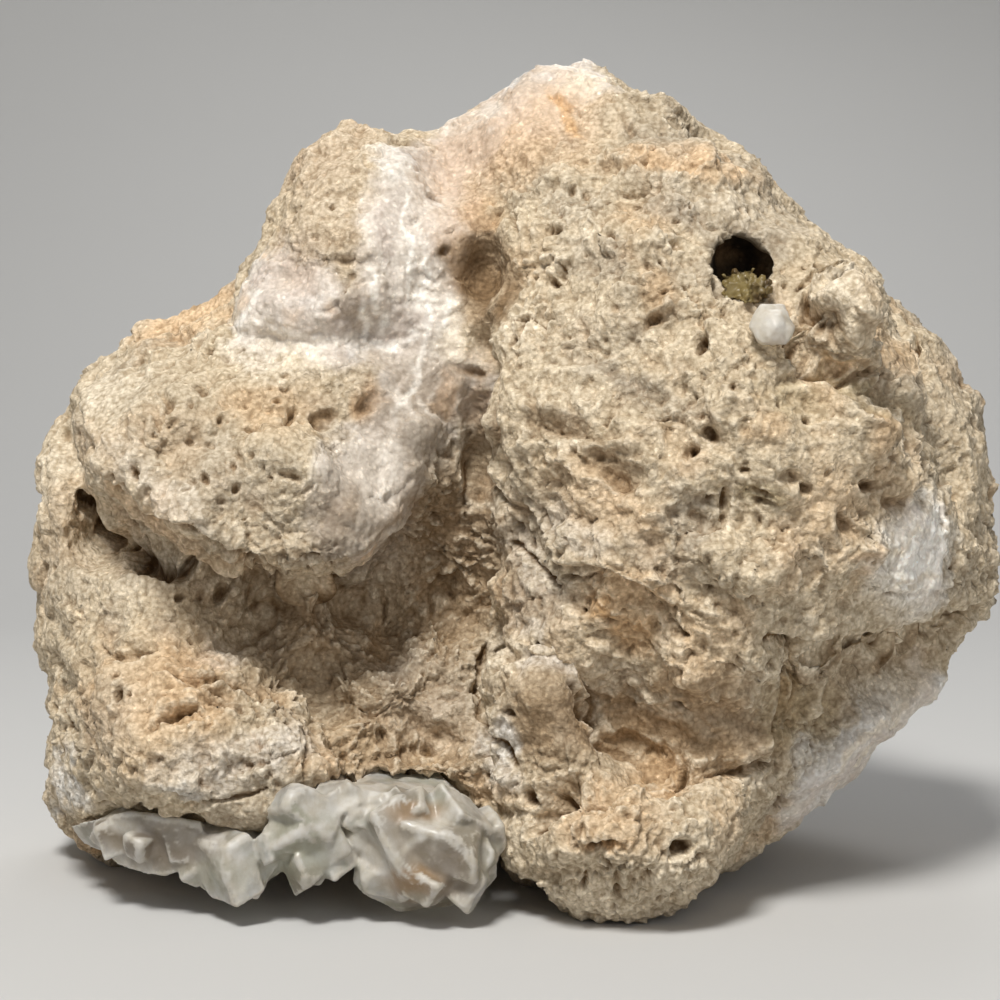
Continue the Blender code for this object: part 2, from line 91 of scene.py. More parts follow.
# The crystals
CLEAVAGE_ANGLE = 94.0          # between the edges of a cleavage block, in degrees
BLOCK_TURN = (0.2, 0.5, 0.3)   # the usual turn of a block, in radians
BLOCK_SPREAD = 0.8             # how far a block's turn departs from it
BLOCK_SINK = 0.36              # share of its size that a block's middle is under the surface
BLOCK_EDGE = 0.07              # share of its size that is broken off a block's edges
CORNER_LOST = 0.4              # share of the corners that are broken off
CLUSTER_VOXEL = 0.46
SMALL_VOXEL = 0.3              # for the single crystal and the crust

# Colours, as 8-bit sRGB
TONES = {
    "tan": (206, 191, 166),
    "pale": (228, 216, 195),
    "white": (218, 210, 199),
    "peach": (224, 192, 154),
    "ochre": (200, 154, 98),
    "grey": (160, 150, 136),
    "brown": (134, 108, 76),
    "umber": (92, 70, 44),
    "purple": (196, 184, 174),
    "skin": (200, 178, 156),
    "smoke": (160, 146, 130),
    "dark": (38, 29, 18),
    "bluish": (216, 215, 212),
    "olive": (150, 132, 84),
    "green": (194, 193, 172),
    "frost": (247, 243, 235),
}

# What the tone is multiplied by between the grains of the limestone and of the spar: painted shade
# between the grains
GRAIN_PAINTED_SHADE = (0.60, 0.55, 0.48, 1.0)
SPAR_PAINTED_SHADE = (0.84, 0.81, 0.78, 1.0)

# Patches of colour on the front: place, half width and height, turn in degrees (anticlockwise
# in the picture), tone and strength; later ones lie over earlier ones
PATCHES = [
    # broad differences of the faces: browner stone in the recess, with painted shade over it and
    # under the prow, the right ledge and the tooth block; the ochre patches are the stone's own
    (340, 610, 150, 70, 0, "brown", 0.4),
    (470, 560, 60, 80, 0, "brown", 0.3),
    (700, 720, 110, 45, -10, "brown", 0.5),
    (860, 690, 80, 45, 30, "brown", 0.35),
    (560, 720, 60, 60, 0, "brown", 0.35),
    (640, 600, 60, 24, -35, "ochre", 0.25),
    (400, 745, 90, 40, 0, "ochre", 0.25),
    # more painted shade low in the recess, under the prow and under the tooth block
    (400, 722, 90, 46, 0, "brown", 0.3),
    (650, 718, 120, 36, -10, "brown", 0.35),
    (550, 730, 50, 28, 0, "brown", 0.4),
    # painted shadow under the left shoulder's overhang
    (210, 580, 120, 22, -12, "umber", 0.35),
    # left shoulder
    (185, 322, 62, 20, 25, "peach", 0.75),
    (112, 395, 36, 26, 20, "pale", 0.6),
    (165, 440, 60, 60, 0, "grey", 0.22),
    (238, 485, 70, 45, -30, "grey", 0.3),
    (160, 490, 80, 16, -38, "white", 0.4),
    (280, 410, 45, 30, 0, "ochre", 0.25),
    (370, 401, 16, 18, 0, "ochre", 0.8),
    (322, 422, 14, 12, 0, "brown", 0.7),
    (300, 365, 45, 22, -15, "pale", 0.5),
    (55, 470, 22, 60, 0, "pale", 0.4),
    (60, 570, 28, 50, 0, "grey", 0.25),
    (110, 580, 50, 30, -20, "pale", 0.35),
    # tooth
    (340, 148, 80, 26, 22, "skin", 0.35),
    (335, 215, 46, 50, 0, "skin", 0.3),
    (350, 255, 24, 28, 0, "brown", 0.25),
    # shades of the vein: the smoke and grey over the fan and the tongue are painted shade of the
    # wall that turns down into the recess
    (420, 400, 62, 54, -20, "smoke", 0.85),
    (430, 445, 40, 34, 0, "grey", 0.6),
    (362, 500, 48, 66, -15, "smoke", 0.95),
    (372, 535, 40, 44, 0, "grey", 0.8),
    (350, 490, 20, 50, -20, "brown", 0.25),
    (385, 470, 12, 40, -10, "white", 0.5),
    (352, 458, 34, 30, 0, "white", 0.6),
    (378, 492, 22, 40, -10, "white", 0.55),
    (440, 500, 26, 40, 0, "brown", 0.4),
    (400, 400, 30, 6, -55, "white", 0.7),
    (412, 380, 5, 40, -20, "frost", 0.6),
    (440, 425, 36, 4, -50, "white", 0.6),
    (292, 285, 46, 40, 0, "purple", 0.6),
    (300, 262, 22, 30, 10, "skin", 0.35),
    (292, 333, 48, 11, -8, "white", 0.95),
    (250, 352, 22, 16, 0, "white", 0.7),
    (268, 372, 30, 14, -20, "pale", 0.5),
    (404, 262, 34, 80, 0, "white", 0.6),
    (398, 210, 24, 26, 0, "purple", 0.5),
    (404, 330, 30, 18, 20, "purple", 0.7),
    (352, 300, 14, 20, 0, "smoke", 0.5),
    (455, 205, 26, 50, 10, "skin", 0.7),
    (452, 330, 16, 30, 0, "pale", 0.6),
    (460, 160, 40, 24, 20, "skin", 0.5),
    (386, 232, 4, 46, 5, "purple", 0.7),
    (411, 250, 4, 60, 0, "frost", 0.7),
    (426, 300, 4, 40, 0, "frost", 0.6),
    (376, 300, 5, 30, 10, "frost", 0.7),
    (395, 345, 30, 5, 20, "frost", 0.7),
    (360, 322, 7, 24, 0, "frost", 0.7),
    (441, 318, 5, 30, -10, "frost", 0.5),
    (250, 310, 6, 30, -20, "frost", 0.5),
    (395, 165, 20, 12, 0, "frost", 0.4),
    # top skin
    (520, 122, 80, 40, 22, "skin", 0.9),
    (486, 117, 18, 10, 22, "white", 0.7),
    (560, 108, 40, 24, 25, "peach", 0.3),
    (588, 86, 22, 20, 0, "pale", 0.6),
    (520, 160, 44, 22, 20, "peach", 0.5),
    (566, 112, 5, 24, 40, "ochre", 0.6),
    # right face
    (690, 168, 64, 12, -8, "peach", 0.8),
    (660, 120, 60, 34, -35, "grey", 0.2),
    (668, 205, 32, 20, -20, "grey", 0.55),
    (700, 225, 26, 14, -20, "grey", 0.5),
    (597, 262, 24, 20, 0, "grey", 0.45),
    (575, 208, 28, 18, 0, "grey", 0.3),
    (760, 240, 40, 26, 0, "grey", 0.3),
    (580, 350, 60, 40, 25, "pale", 0.25),
    (610, 372, 44, 10, -20, "grey", 0.5),
    (660, 400, 60, 16, -25, "grey", 0.45),
    (560, 424, 36, 11, -12, "brown", 0.55),
    (612, 465, 28, 20, -25, "brown", 0.55),
    (690, 520, 26, 30, 40, "grey", 0.6),
    (600, 500, 60, 34, -30, "peach", 0.35),
    (575, 530, 40, 14, -35, "white", 0.45),
    (660, 560, 60, 14, -35, "grey", 0.4),
    (762, 498, 20, 12, -20, "olive", 0.4),
    (772, 430, 22, 14, 0, "ochre", 0.3),
    (790, 400, 30, 20, -25, "olive", 0.3),
    (865, 395, 50, 14, -35, "olive", 0.35),
    (880, 490, 36, 40, 0, "peach", 0.3),
    (870, 560, 14, 8, 0, "ochre", 0.5),
    (888, 505, 18, 12, 0, "brown", 0.45),
    (848, 525, 12, 20, 0, "brown", 0.5),
    (822, 318, 22, 14, -10, "brown", 0.65),
    (838, 302, 30, 18, 0, "pale", 0.8),
    (659, 316, 22, 12, 30, "brown", 0.5),
    (950, 400, 26, 60, 0, "grey", 0.15),
    (932, 520, 13, 28, 10, "frost", 0.9),
    (905, 562, 34, 44, -20, "frost", 0.85),
    (900, 540, 30, 5, 40, "pale", 0.6),
    (915, 575, 26, 4, 45, "tan", 0.5),
    (640, 690, 60, 14, -30, "pale", 0.5),
    (530, 565, 40, 14, -45, "white", 0.5),
    (545, 605, 34, 26, 0, "smoke", 0.6),
    (538, 632, 18, 8, -30, "white", 0.5),
    (625, 632, 28, 16, -30, "ochre", 0.5),
    # valley and hollow
    (477, 268, 34, 46, 8, "brown", 0.85),
    (484, 288, 28, 34, 8, "brown", 0.6),
    (484, 290, 20, 26, 8, "umber", 0.3),
    (449, 251, 5, 5, 0, "umber", 1.0),
    (480, 205, 22, 16, 0, "ochre", 0.35),
    (530, 330, 40, 22, 20, "pale", 0.3),
    (467, 373, 14, 8, -30, "brown", 0.8),
    (478, 420, 12, 60, 0, "brown", 0.6),
    (448, 398, 8, 22, -10, "ochre", 0.25),
    # painted shade down the valley into the recess
    (452, 560, 46, 84, 0, "brown", 0.45),
    (350, 660, 90, 60, 0, "brown", 0.3),
    (486, 507, 15, 6, 0, "pale", 0.9),
    (430, 520, 60, 24, 10, "brown", 0.4),
    # recess
    (430, 690, 60, 40, 20, "smoke", 0.45),
    (400, 660, 30, 14, 20, "white", 0.25),
    (460, 720, 30, 26, 0, "white", 0.2),
    (218, 650, 24, 16, 0, "white", 0.6),
    (383, 552, 16, 20, 0, "smoke", 0.6),
    # lower left lobe
    (190, 690, 40, 50, 20, "ochre", 0.35),
    (150, 700, 60, 60, 0, "peach", 0.4),
    (105, 720, 28, 36, -40, "grey", 0.4),
    (225, 762, 66, 24, 10, "white", 0.6),
    (280, 750, 24, 22, 0, "white", 0.6),
    (325, 765, 22, 16, 0, "peach", 0.6),
    (180, 790, 22, 7, 0, "bluish", 0.7),
    (62, 775, 9, 30, 8, "bluish", 0.8),
    (80, 800, 18, 10, -20, "bluish", 0.6),
    (75, 840, 30, 14, -30, "brown", 0.55),
    (110, 840, 30, 16, -20, "ochre", 0.5),
    # tooth block and bottom lobe
    (512, 655, 26, 22, -30, "pale", 0.8),
    (540, 676, 20, 10, -40, "white", 0.8),
    (500, 742, 18, 20, 0, "bluish", 0.75),
    (508, 776, 16, 18, 0, "white", 0.8),
    (470, 790, 50, 14, -10, "peach", 0.5),
    (600, 812, 60, 34, -10, "peach", 0.5),
    (590, 905, 60, 16, -8, "pale", 0.7),
    (690, 870, 60, 30, 25, "pale", 0.35),
    (655, 770, 30, 18, 0, "ochre", 0.4),
    (602, 842, 18, 9, 15, "ochre", 0.7),
    (600, 610, 10, 8, 0, "ochre", 0.6),
    # lower right edge
    (850, 740, 76, 22, 38, "bluish", 0.7),
    (830, 730, 60, 5, 35, "tan", 0.5),
    (870, 740, 50, 5, 42, "pale", 0.6),
    (800, 715, 34, 40, 30, "olive", 0.3),
    (905, 690, 40, 16, 40, "pale", 0.5),
    # the round hollow, painted near-black as its shade
    (740, 262, 22, 26, 0, "dark", 1.0),
]

# Patches of colour on the crystals at the foot, in the same form
CRYSTAL_PATCHES = [
    (300, 826, 40, 34, 0, "green", 0.5),
    (309, 803, 14, 14, -30, "frost", 0.9),
    (298, 812, 24, 5, -45, "green", 0.8),
    (299, 838, 36, 5, 18, "frost", 0.9),
    (332, 850, 6, 30, 15, "frost", 0.5),
    (306, 868, 26, 22, 0, "green", 0.5),
    (225, 862, 40, 14, -10, "frost", 0.5),
    (150, 835, 70, 26, -15, "smoke", 0.7),
    (150, 850, 60, 16, -20, "brown", 0.35),
    (125, 826, 14, 8, 0, "frost", 0.8),
    (210, 875, 40, 14, 0, "green", 0.5),
    (355, 802, 34, 16, 0, "frost", 0.9),
    (430, 832, 44, 7, 30, "frost", 0.9),
    (385, 862, 12, 24, -10, "frost", 0.7),
    (470, 850, 24, 34, 0, "smoke", 0.6),
    (400, 850, 30, 40, 0, "smoke", 0.6),
    (440, 872, 40, 30, 0, "smoke", 0.5),
    (435, 830, 40, 6, 40, "frost", 0.9),
    (388, 860, 12, 26, 10, "frost", 0.8),
    (415, 882, 26, 14, 0, "ochre", 0.6),
    (420, 815, 26, 10, 10, "ochre", 0.5),
    (445, 885, 24, 12, 0, "smoke", 0.5),
]

# Blocks that stand out of the crystals: where their middles show, and their size in mm
BLOCKS = [
    (303, 812, 9.5), (290, 834, 7.5), (322, 842, 7.0), (272, 846, 5.0), (308, 868, 8.0),
    (332, 860, 5.5), (226, 864, 10.5), (252, 868, 8.0), (198, 864, 7.0), (116, 834, 6.5),
    (150, 842, 7.5), (182, 848, 6.5), (346, 793, 4.2), (362, 802, 4.6), (380, 803, 4.0),
    (335, 804, 3.8), (396, 795, 3.6), (352, 814, 3.8), (402, 846, 14.0), (442, 842, 13.0),
    (472, 858, 9.5), (380, 880, 8.5), (430, 882, 9.5), (462, 880, 8.0), (455, 818, 7.5),
    (366, 838, 7.0), (416, 812, 6.0), (484, 834, 6.5),
]

# Where each kind of texture is on the front: place, half width and height, turn and strength
TEXTURES = {
    "crumbly": [
        (545, 270, 36, 80, 0, 1.0), (500, 190, 50, 30, 0, 0.5), (560, 800, 70, 50, -20, 0.8),
        (400, 760, 110, 30, 0, 0.9), (330, 765, 30, 24, 0, 0.7), (820, 690, 40, 30, 40, 0.5),
        (240, 760, 70, 22, 0, 0.5), (100, 840, 50, 22, -20, 0.8), (330, 640, 160, 100, 0, 0.9),
        (440, 600, 60, 120, 0, 0.8), (836, 308, 46, 40, 0, 1.0), (150, 700, 100, 90, 0, 0.45),
        (640, 330, 150, 110, -20, 0.45), (860, 560, 60, 50, 0, 0.5), (640, 850, 130, 60, 0, 0.6),
        (850, 740, 80, 26, 38, 0.8),
    ],
    "porous": [
        (210, 430, 110, 90, -15, 1.0), (330, 225, 60, 70, 0, 0.5), (780, 470, 110, 60, 0, 0.5),
        (640, 230, 60, 50, 0, 0.4), (320, 610, 140, 70, 0, 0.8),
    ],
    "flaky": [
        (620, 500, 120, 160, -30, 1.0), (200, 690, 60, 30, -8, 1.0),
        (640, 650, 120, 60, -25, 1.0), (700, 730, 100, 40, -10, 0.6),
    ],
    "smooth": [
        (115, 395, 40, 30, 20, 0.9), (190, 318, 70, 18, 25, 0.6), (340, 145, 90, 24, 20, 0.5),
        (530, 110, 90, 36, 22, 0.9), (680, 740, 90, 30, -8, 0.6), (477, 268, 30, 44, 0, 0.7),
        (110, 575, 60, 34, 0, 0.4), (160, 720, 70, 50, 0, 0.4), (540, 720, 50, 40, 0, 0.6),
        (785, 160, 60, 30, -40, 0.3),
    ],
}

# Pits on the front: place, half width and height, turn and depth in mm
PITS = [
    (167, 407, 5, 8, 20, 2.4), (204, 394, 5, 7, 30, 1.8), (137, 474, 4, 9, 10, 2.6),
    (204, 480, 4, 6, 0, 2.0), (236, 488, 5, 5, 0, 1.8), (256, 434, 10, 4, 0, 1.8),
    (289, 421, 4, 11, -30, 2.0), (147, 493, 4, 5, 0, 1.6), (236, 466, 4, 4, 0, 1.4),
    (209, 355, 8, 4, 35, 1.2), (180, 337, 5, 5, 0, 1.0), (289, 479, 10, 4, -25, 1.6),
    (220, 500, 4, 4, 0, 1.2), (69, 433, 6, 6, 0, 1.4), (91, 445, 4, 4, 0, 1.2),
    (322, 422, 11, 10, 0, 2.0), (372, 403, 13, 9, 40, 1.8), (276, 404, 4, 3, 0, 1.4),
    (192, 410, 4, 3, 0, 1.2), (222, 425, 3, 6, 0, 1.2), (211, 448, 3, 4, 0, 1.0),
    (245, 408, 3, 3, 0, 1.0), (258, 457, 3, 3, 0, 1.0), (176, 383, 3, 3, 0, 0.9),
    (699, 341, 6, 9, -20, 3.2), (712, 433, 9, 7, 0, 3.2), (699, 417, 4, 4, 0, 1.8),
    (692, 452, 8, 4, 20, 1.8), (725, 500, 4, 10, -10, 2.2), (747, 424, 6, 7, 40, 1.6),
    (809, 419, 4, 4, 0, 1.6), (924, 442, 3, 3, 0, 1.2), (970, 434, 5, 7, 0, 2.0),
    (745, 466, 6, 4, 0, 1.6), (788, 478, 10, 8, 0, 2.0), (804, 489, 7, 6, 0, 2.4),
    (760, 492, 12, 3, -25, 1.6), (764, 503, 12, 3, -20, 1.6), (867, 487, 9, 6, -20, 2.2),
    (848, 526, 8, 12, 20, 2.4), (889, 503, 10, 7, 0, 1.8), (723, 520, 4, 4, 0, 1.4),
    (843, 606, 6, 5, 0, 1.6), (709, 560, 3, 7, 10, 1.6), (934, 643, 4, 4, 0, 1.8),
    (843, 675, 5, 5, 0, 1.6), (889, 674, 5, 6, 0, 1.6), (852, 632, 6, 3, 0, 1.4),
    (576, 190, 3, 7, -20, 1.6), (816, 267, 4, 3, 0, 1.4), (787, 285, 3, 3, 0, 1.0),
    (831, 279, 9, 5, -10, 2.0), (824, 320, 18, 11, -15, 2.6), (659, 316, 14, 7, 30, 1.8),
    (915, 342, 4, 4, 0, 1.4), (664, 260, 3, 4, 0, 1.2), (677, 222, 4, 3, 0, 1.2),
    (754, 208, 3, 3, 0, 1.0), (566, 270, 5, 9, -20, 2.0), (554, 233, 10, 4, 0, 2.0),
    (519, 331, 16, 4, 45, 2.4), (449, 251, 5, 5, 0, 2.2), (804, 351, 10, 11, -30, 4.5),
    (682, 846, 10, 6, 15, 4.0), (602, 842, 15, 6, 20, 2.8), (598, 799, 14, 5, 10, 3.0),
    (620, 883, 4, 10, 5, 2.2), (582, 883, 4, 5, -20, 2.4), (648, 870, 3, 5, 0, 1.6),
    (673, 812, 4, 3, 0, 1.2), (681, 767, 7, 11, 0, 3.2), (533, 796, 7, 9, 0, 3.2),
    (746, 771, 4, 4, 0, 1.8), (510, 715, 8, 3, -5, 2.0), (523, 700, 4, 5, 0, 1.4),
    (117, 698, 4, 5, 0, 3.0), (117, 682, 3, 3, 0, 1.2), (131, 697, 3, 2, 0, 1.2),
    (130, 770, 5, 3, 0, 1.4), (163, 759, 3, 3, 0, 1.2), (70, 730, 3, 3, 0, 1.2),
    (178, 716, 14, 8, 15, 2.6), (183, 573, 9, 8, 0, 4.0), (182, 597, 5, 5, 0, 1.8),
    (261, 576, 4, 4, 0, 1.6), (220, 595, 5, 7, 0, 2.0), (238, 577, 4, 5, 0, 1.6),
    (481, 600, 6, 5, 0, 1.8), (467, 372, 13, 5, -30, 2.0), (597, 455, 10, 6, -30, 1.6),
    (617, 478, 14, 9, -30, 1.8), (696, 519, 9, 7, -30, 1.8),
    (384, 735, 7, 6, 0, 1.6), (345, 690, 5, 7, 0, 1.4), (430, 745, 6, 5, 0, 1.6),
]

# Broad forms of the front: place, half width and height, turn and how far they stand out
FORMS = [
    (477, 270, 34, 52, 8, -1.0), (200, 440, 120, 70, -20, 1.6), (330, 640, 120, 60, 0, -3.5),
    (425, 585, 60, 70, 0, -2.5), (400, 720, 70, 40, 0, -2.5), (300, 640, 26, 20, 0, 2.2),
    (372, 682, 24, 20, 0, 2.2), (424, 640, 22, 32, 0, 2.0), (350, 600, 30, 12, 0, -2.0),
    (250, 662, 30, 16, 0, 1.6), (442, 712, 22, 18, 0, 1.6), (396, 608, 14, 22, 0, -1.8),
    (326, 704, 20, 14, 0, -1.6), (276, 604, 22, 12, 0, -2.2), (600, 800, 26, 11, 10, -2.8),
    (520, 782, 28, 24, 0, 1.6), (528, 850, 28, 30, 0, 1.4), (655, 776, 32, 16, 0, -2.6),
    (704, 806, 40, 20, 20, 1.4), (590, 870, 30, 14, 0, -1.4), (537, 678, 46, 46, -20, 3.5),
    (640, 850, 110, 50, 0, 1.5), (838, 308, 38, 38, 0, 4.5), (824, 318, 20, 13, -15, -2.5),
    (822, 372, 34, 8, 15, -2.5), (890, 665, 110, 30, 22, -3.0), (800, 690, 30, 60, 0, -2.0),
    (760, 345, 26, 16, 0, -1.2), (615, 470, 30, 17, -30, -2.0), (690, 520, 26, 22, 40, -1.6),
    (560, 425, 40, 10, -12, -1.6), (650, 205, 30, 18, -20, -1.4), (690, 168, 64, 14, -8, 1.0),
    (875, 400, 60, 14, -35, -1.4), (780, 470, 60, 40, 0, 1.0), (850, 525, 16, 24, 20, -1.6),
    (700, 725, 90, 30, -12, -1.5), (620, 620, 40, 22, -35, -2.0), (590, 215, 30, 26, 0, 1.2),
    (560, 260, 40, 60, 0, 1.0), (345, 210, 60, 70, 0, 1.0), (390, 260, 26, 100, 5, 1.2),
    (430, 410, 40, 50, -20, 1.2), (365, 500, 34, 60, -15, 1.0), (160, 700, 90, 50, 0, 1.2),
    (285, 752, 24, 26, 0, 1.8), (230, 765, 40, 20, 0, 1.2), (325, 768, 22, 16, 0, 1.6),
    (175, 322, 70, 20, 25, 1.0), (60, 480, 24, 70, 0, 0.8), (910, 556, 36, 50, -10, 1.4),
    (585, 95, 26, 24, 0, 1.4), (520, 110, 46, 24, 22, 1.0),
]

# Hollows and grooves with a steeper rim, in the same form
HOLLOWS = [
    (478, 420, 16, 90, 0, -3.5),
    (738, 272, 22, 26, 10, -4.5),
    (748, 258, 18, 22, 20, -3.0),
    (802, 326, 9, 34, -10, -3.5),
    (558, 802, 12, 34, -35, -4.0),
]

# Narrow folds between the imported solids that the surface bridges: where they show, and the
# radius in mm of the ball that fills them and how deep under the surface round it that is.
# The surface is found on a ring of so many pixels.
PLUGS = [(333, 338, 3.4, 0.2), (326, 344, 3.0, 0.2)]
PLUG_RING = 15

# Cracks on the front: the points that each runs through, half width in pixels, depth in mm
CRACKS = [
    ([(80, 498), (108, 530), (137, 554), (156, 566), (172, 578)], 12, 6.5),
    ([(185, 560), (230, 584), (290, 592), (350, 584)], 13, 3.0),
    ([(560, 690), (590, 712), (603, 735), (640, 754), (690, 765), (745, 772), (778, 765)], 11, 3.0),
    ([(775, 640), (805, 652), (840, 650), (900, 637), (950, 624), (990, 610)], 12, 3.2),
    ([(487, 645), (479, 690), (488, 735), (520, 762)], 6, 3.4),
    ([(545, 640), (572, 668), (592, 700), (603, 742)], 5, 3.4),
    ([(790, 328), (799, 352), (815, 368), (840, 380), (864, 370)], 7, 2.4),
    ([(796, 292), (812, 276), (838, 268)], 5, 2.0),
    ([(94, 462), (112, 486), (140, 505), (165, 522)], 4, 1.6),
    ([(191, 525), (210, 543), (224, 554), (250, 567), (285, 572)], 5, 2.4),
    ([(300, 557), (315, 555), (328, 563)], 4, 2.6),
    ([(306, 562), (311, 580), (321, 598)], 4, 2.6),
    ([(329, 565), (334, 583), (328, 598)], 3, 2.2),
    ([(250, 616), (270, 611), (287, 613)], 3, 1.4),
    ([(468, 466), (469, 490), (466, 519)], 3, 2.0),
    ([(488, 474), (495, 490), (503, 505), (512, 532)], 5, 3.4),
    ([(487, 500), (489, 520), (488, 540)], 2, 1.4),
    ([(565, 576), (601, 582), (633, 594), (661, 616), (690, 634)], 10, 1.8),
    ([(497, 540), (520, 552), (545, 575), (562, 590)], 4, 2.0),
    ([(575, 776), (559, 794), (547, 819), (541, 832)], 6, 4.2),
    ([(597, 717), (602, 735), (601, 766)], 3, 2.2),
    ([(570, 690), (580, 702), (592, 715)], 5, 2.4),
    ([(640, 752), (652, 746), (664, 752)], 3, 1.6),
    ([(102, 645), (112, 655), (122, 661), (138, 650), (153, 646)], 4, 2.2),
    ([(168, 674), (191, 682), (219, 679), (255, 681)], 4, 2.2),
    ([(199, 690), (225, 694), (250, 692)], 2.5, 1.2),
    ([(200, 703), (222, 706), (240, 704)], 2.5, 1.0),
    ([(150, 729), (163, 722), (179, 708), (194, 709), (201, 722)], 3, 1.8),
    ([(304, 725), (302, 745), (305, 778)], 3, 1.6),
    ([(102, 804), (150, 810), (200, 803), (265, 790)], 4, 1.8),
    ([(915, 335), (917, 385), (919, 433), (922, 492)], 4, 2.2),
    ([(516, 322), (530, 318), (545, 330)], 3, 2.0),
    ([(560, 262), (570, 272), (566, 286)], 3, 2.0),
    ([(553, 98), (568, 112), (584, 118)], 3, 1.2),
    ([(505, 214), (520, 222), (524, 238)], 3, 1.4),
    ([(690, 208), (705, 226), (728, 232)], 3, 1.0),
    ([(800, 360), (812, 370), (828, 378)], 5, 2.0),
    ([(880, 595), (920, 590), (960, 586)], 3, 1.0),
]

# Steps on the front: the points that each edge runs through, how far the surface on the left
# of that way stands out, and how far from the edge it does so in pixels
STEPS = [
    ([(76, 385), (90, 420), (92, 460), (140, 505), (225, 548), (300, 566)], 3.6, 24),
    ([(912, 510), (914, 430), (914, 380), (910, 330)], 5.0, 30),
    ([(770, 645), (850, 634), (930, 617), (990, 602)], 3.2, 34),
    ([(772, 768), (784, 700), (792, 650)], 2.6, 30),
    ([(524, 535), (494, 450), (488, 400), (470, 330)], 2.4, 26),
    ([(500, 470), (510, 495), (545, 530), (562, 562), (601, 568), (650, 590), (700, 625)], 3.4, 24),
    ([(572, 690), (600, 738), (650, 762), (700, 772), (778, 768)], 2.8, 28),
    ([(569, 666), (600, 690), (633, 704), (690, 700)], 1.6, 18),
    ([(104, 640), (140, 643), (160, 640)], 1.6, 14),
    ([(160, 668), (200, 676), (258, 676)], 1.4, 12),
    ([(500, 640), (530, 660), (562, 690), (590, 712)], 1.6, 16),
    ([(232, 330), (262, 332), (332, 342)], 1.0, 16),
    ([(640, 345), (600, 360), (540, 372), (505, 365)], 1.0, 24),
]


def ledged(height, step):
    """Turns a smooth height into flats with steep edges between them."""
    whole = np.floor(height / step)
    return (whole + smooth_step(0.55, 0.95, height / step - whole)) * step


def smooth_step(low, high, values):
    """0 below low, 1 above high and a soft rise between them."""
    share = np.clip((values - low) / (high - low), 0.0, 1.0)
    return share * share * (3.0 - 2.0 * share)


def linear(tone):
    """An 8-bit sRGB colour as linear light."""
    share = np.array(tone) / 255.0
    return np.where(share <= 0.04045, share / 12.92, ((share + 0.055) / 1.055) ** 2.4)


def soft_noise(points, span, seed):
    """Smooth random values from -1 to 1, with lumps about a span apart."""
    block = np.random.default_rng(seed).random((LATTICE,) * 3, dtype=np.float32) * 2.0 - 1.0
    scaled = points / span
    cell = np.floor(scaled).astype(np.int32)
    step = scaled - cell
    step = step * step * (3.0 - 2.0 * step)
    value = np.zeros(len(points), np.float32)
    for corner in itertools.product((0, 1), repeat=3):
        weight = np.prod(np.where(corner, step, 1.0 - step), axis=1)
        value += weight * block[tuple(((cell + corner) % LATTICE).T)]
    return value


def rough_noise(points, span, layers, seed):
    """Layers of soft noise, each with half the span and half the height of the last."""
    return sum(soft_noise(points, span / 2 ** k, seed + k) / 2 ** k for k in range(layers))


def noise_ways(points, span, layers, *seeds):
    """Rough noise along each of two or three axes."""
    return np.stack([rough_noise(points, span, layers, seed) for seed in seeds], axis=1)


def cells(points, span, seed):
    """The scattered centres round each point: how far the nearest and the next are, in spans,
    the way from the nearest one, and three random numbers of its own."""
    rng = np.random.default_rng(seed)
    scatter = rng.random((LATTICE, LATTICE, LATTICE, 3), dtype=np.float32)
    own = rng.random((LATTICE, LATTICE, LATTICE, 3), dtype=np.float32)
    scaled = (points / span).astype(np.float32)
    cell = np.floor(scaled).astype(np.int32)
    nearest = np.full(len(points), 9.0, np.float32)
    second = nearest.copy()
    way = np.zeros((len(points), 3), np.float32)
    kept = np.zeros((len(points), 3), np.int32)
    for offset in itertools.product((-1, 0, 1), repeat=3):
        at = cell + np.array(offset, np.int32)
        wrapped = at % LATTICE
        reach = scaled - at - scatter[tuple(wrapped.T)]
        far = np.sqrt(np.einsum("ij,ij->i", reach, reach))
        closer = far < nearest
        second = np.where(closer, nearest, np.minimum(second, far))
        nearest = np.where(closer, far, nearest)
        way[closer] = reach[closer]
        kept[closer] = wrapped[closer]
    return nearest, second, way, own[tuple(kept.T)]


def seen_at(points):
    """Where points show to the camera, in pixels across and down, and how far off they are."""
    away = points - CAMERA_AT
    deep = away[:, 1] * math.cos(CAMERA_DIP) - away[:, 2] * math.sin(CAMERA_DIP)
    rise = away[:, 1] * math.sin(CAMERA_DIP) + away[:, 2] * math.cos(CAMERA_DIP)
    across = PICTURE / 2 + FOCAL * away[:, 0] / deep
    down = PICTURE / 2 - FOCAL * rise / deep
    return np.stack([across, down], axis=1), deep


def seen_share(points, normals):
    """1 where a point faces the camera with nothing in front of it, down to 0."""
    places, deep = seen_at(points)
    towards = CAMERA_AT - points
    towards /= np.linalg.norm(towards, axis=1)[:, None]
    facing = smooth_step(0.0, 0.3, np.einsum("ij,ij->i", normals, towards))
    cell = np.clip((places / 5).astype(int), 0, PICTURE // 5 - 1)
    nearest = np.full((PICTURE // 5,) * 2, 1e9)
    np.minimum.at(nearest, tuple(cell.T), deep)
    return facing * (deep < nearest[tuple(cell.T)] + SHADE_DEPTH)


def patch_share(places, across, down, half_width, half_height, turn, soft=0.4):
    """1 inside an oval patch, 0 outside it and a soft change at its edge."""
    angle = math.radians(turn)
    right = places[:, 0] - across
    up = down - places[:, 1]
    along = (right * math.cos(angle) + up * math.sin(angle)) / half_width
    over = (up * math.cos(angle) - right * math.sin(angle)) / half_height
    return 1.0 - smooth_step(1.0 - soft, 1.0 + soft, np.sqrt(along ** 2 + over ** 2))


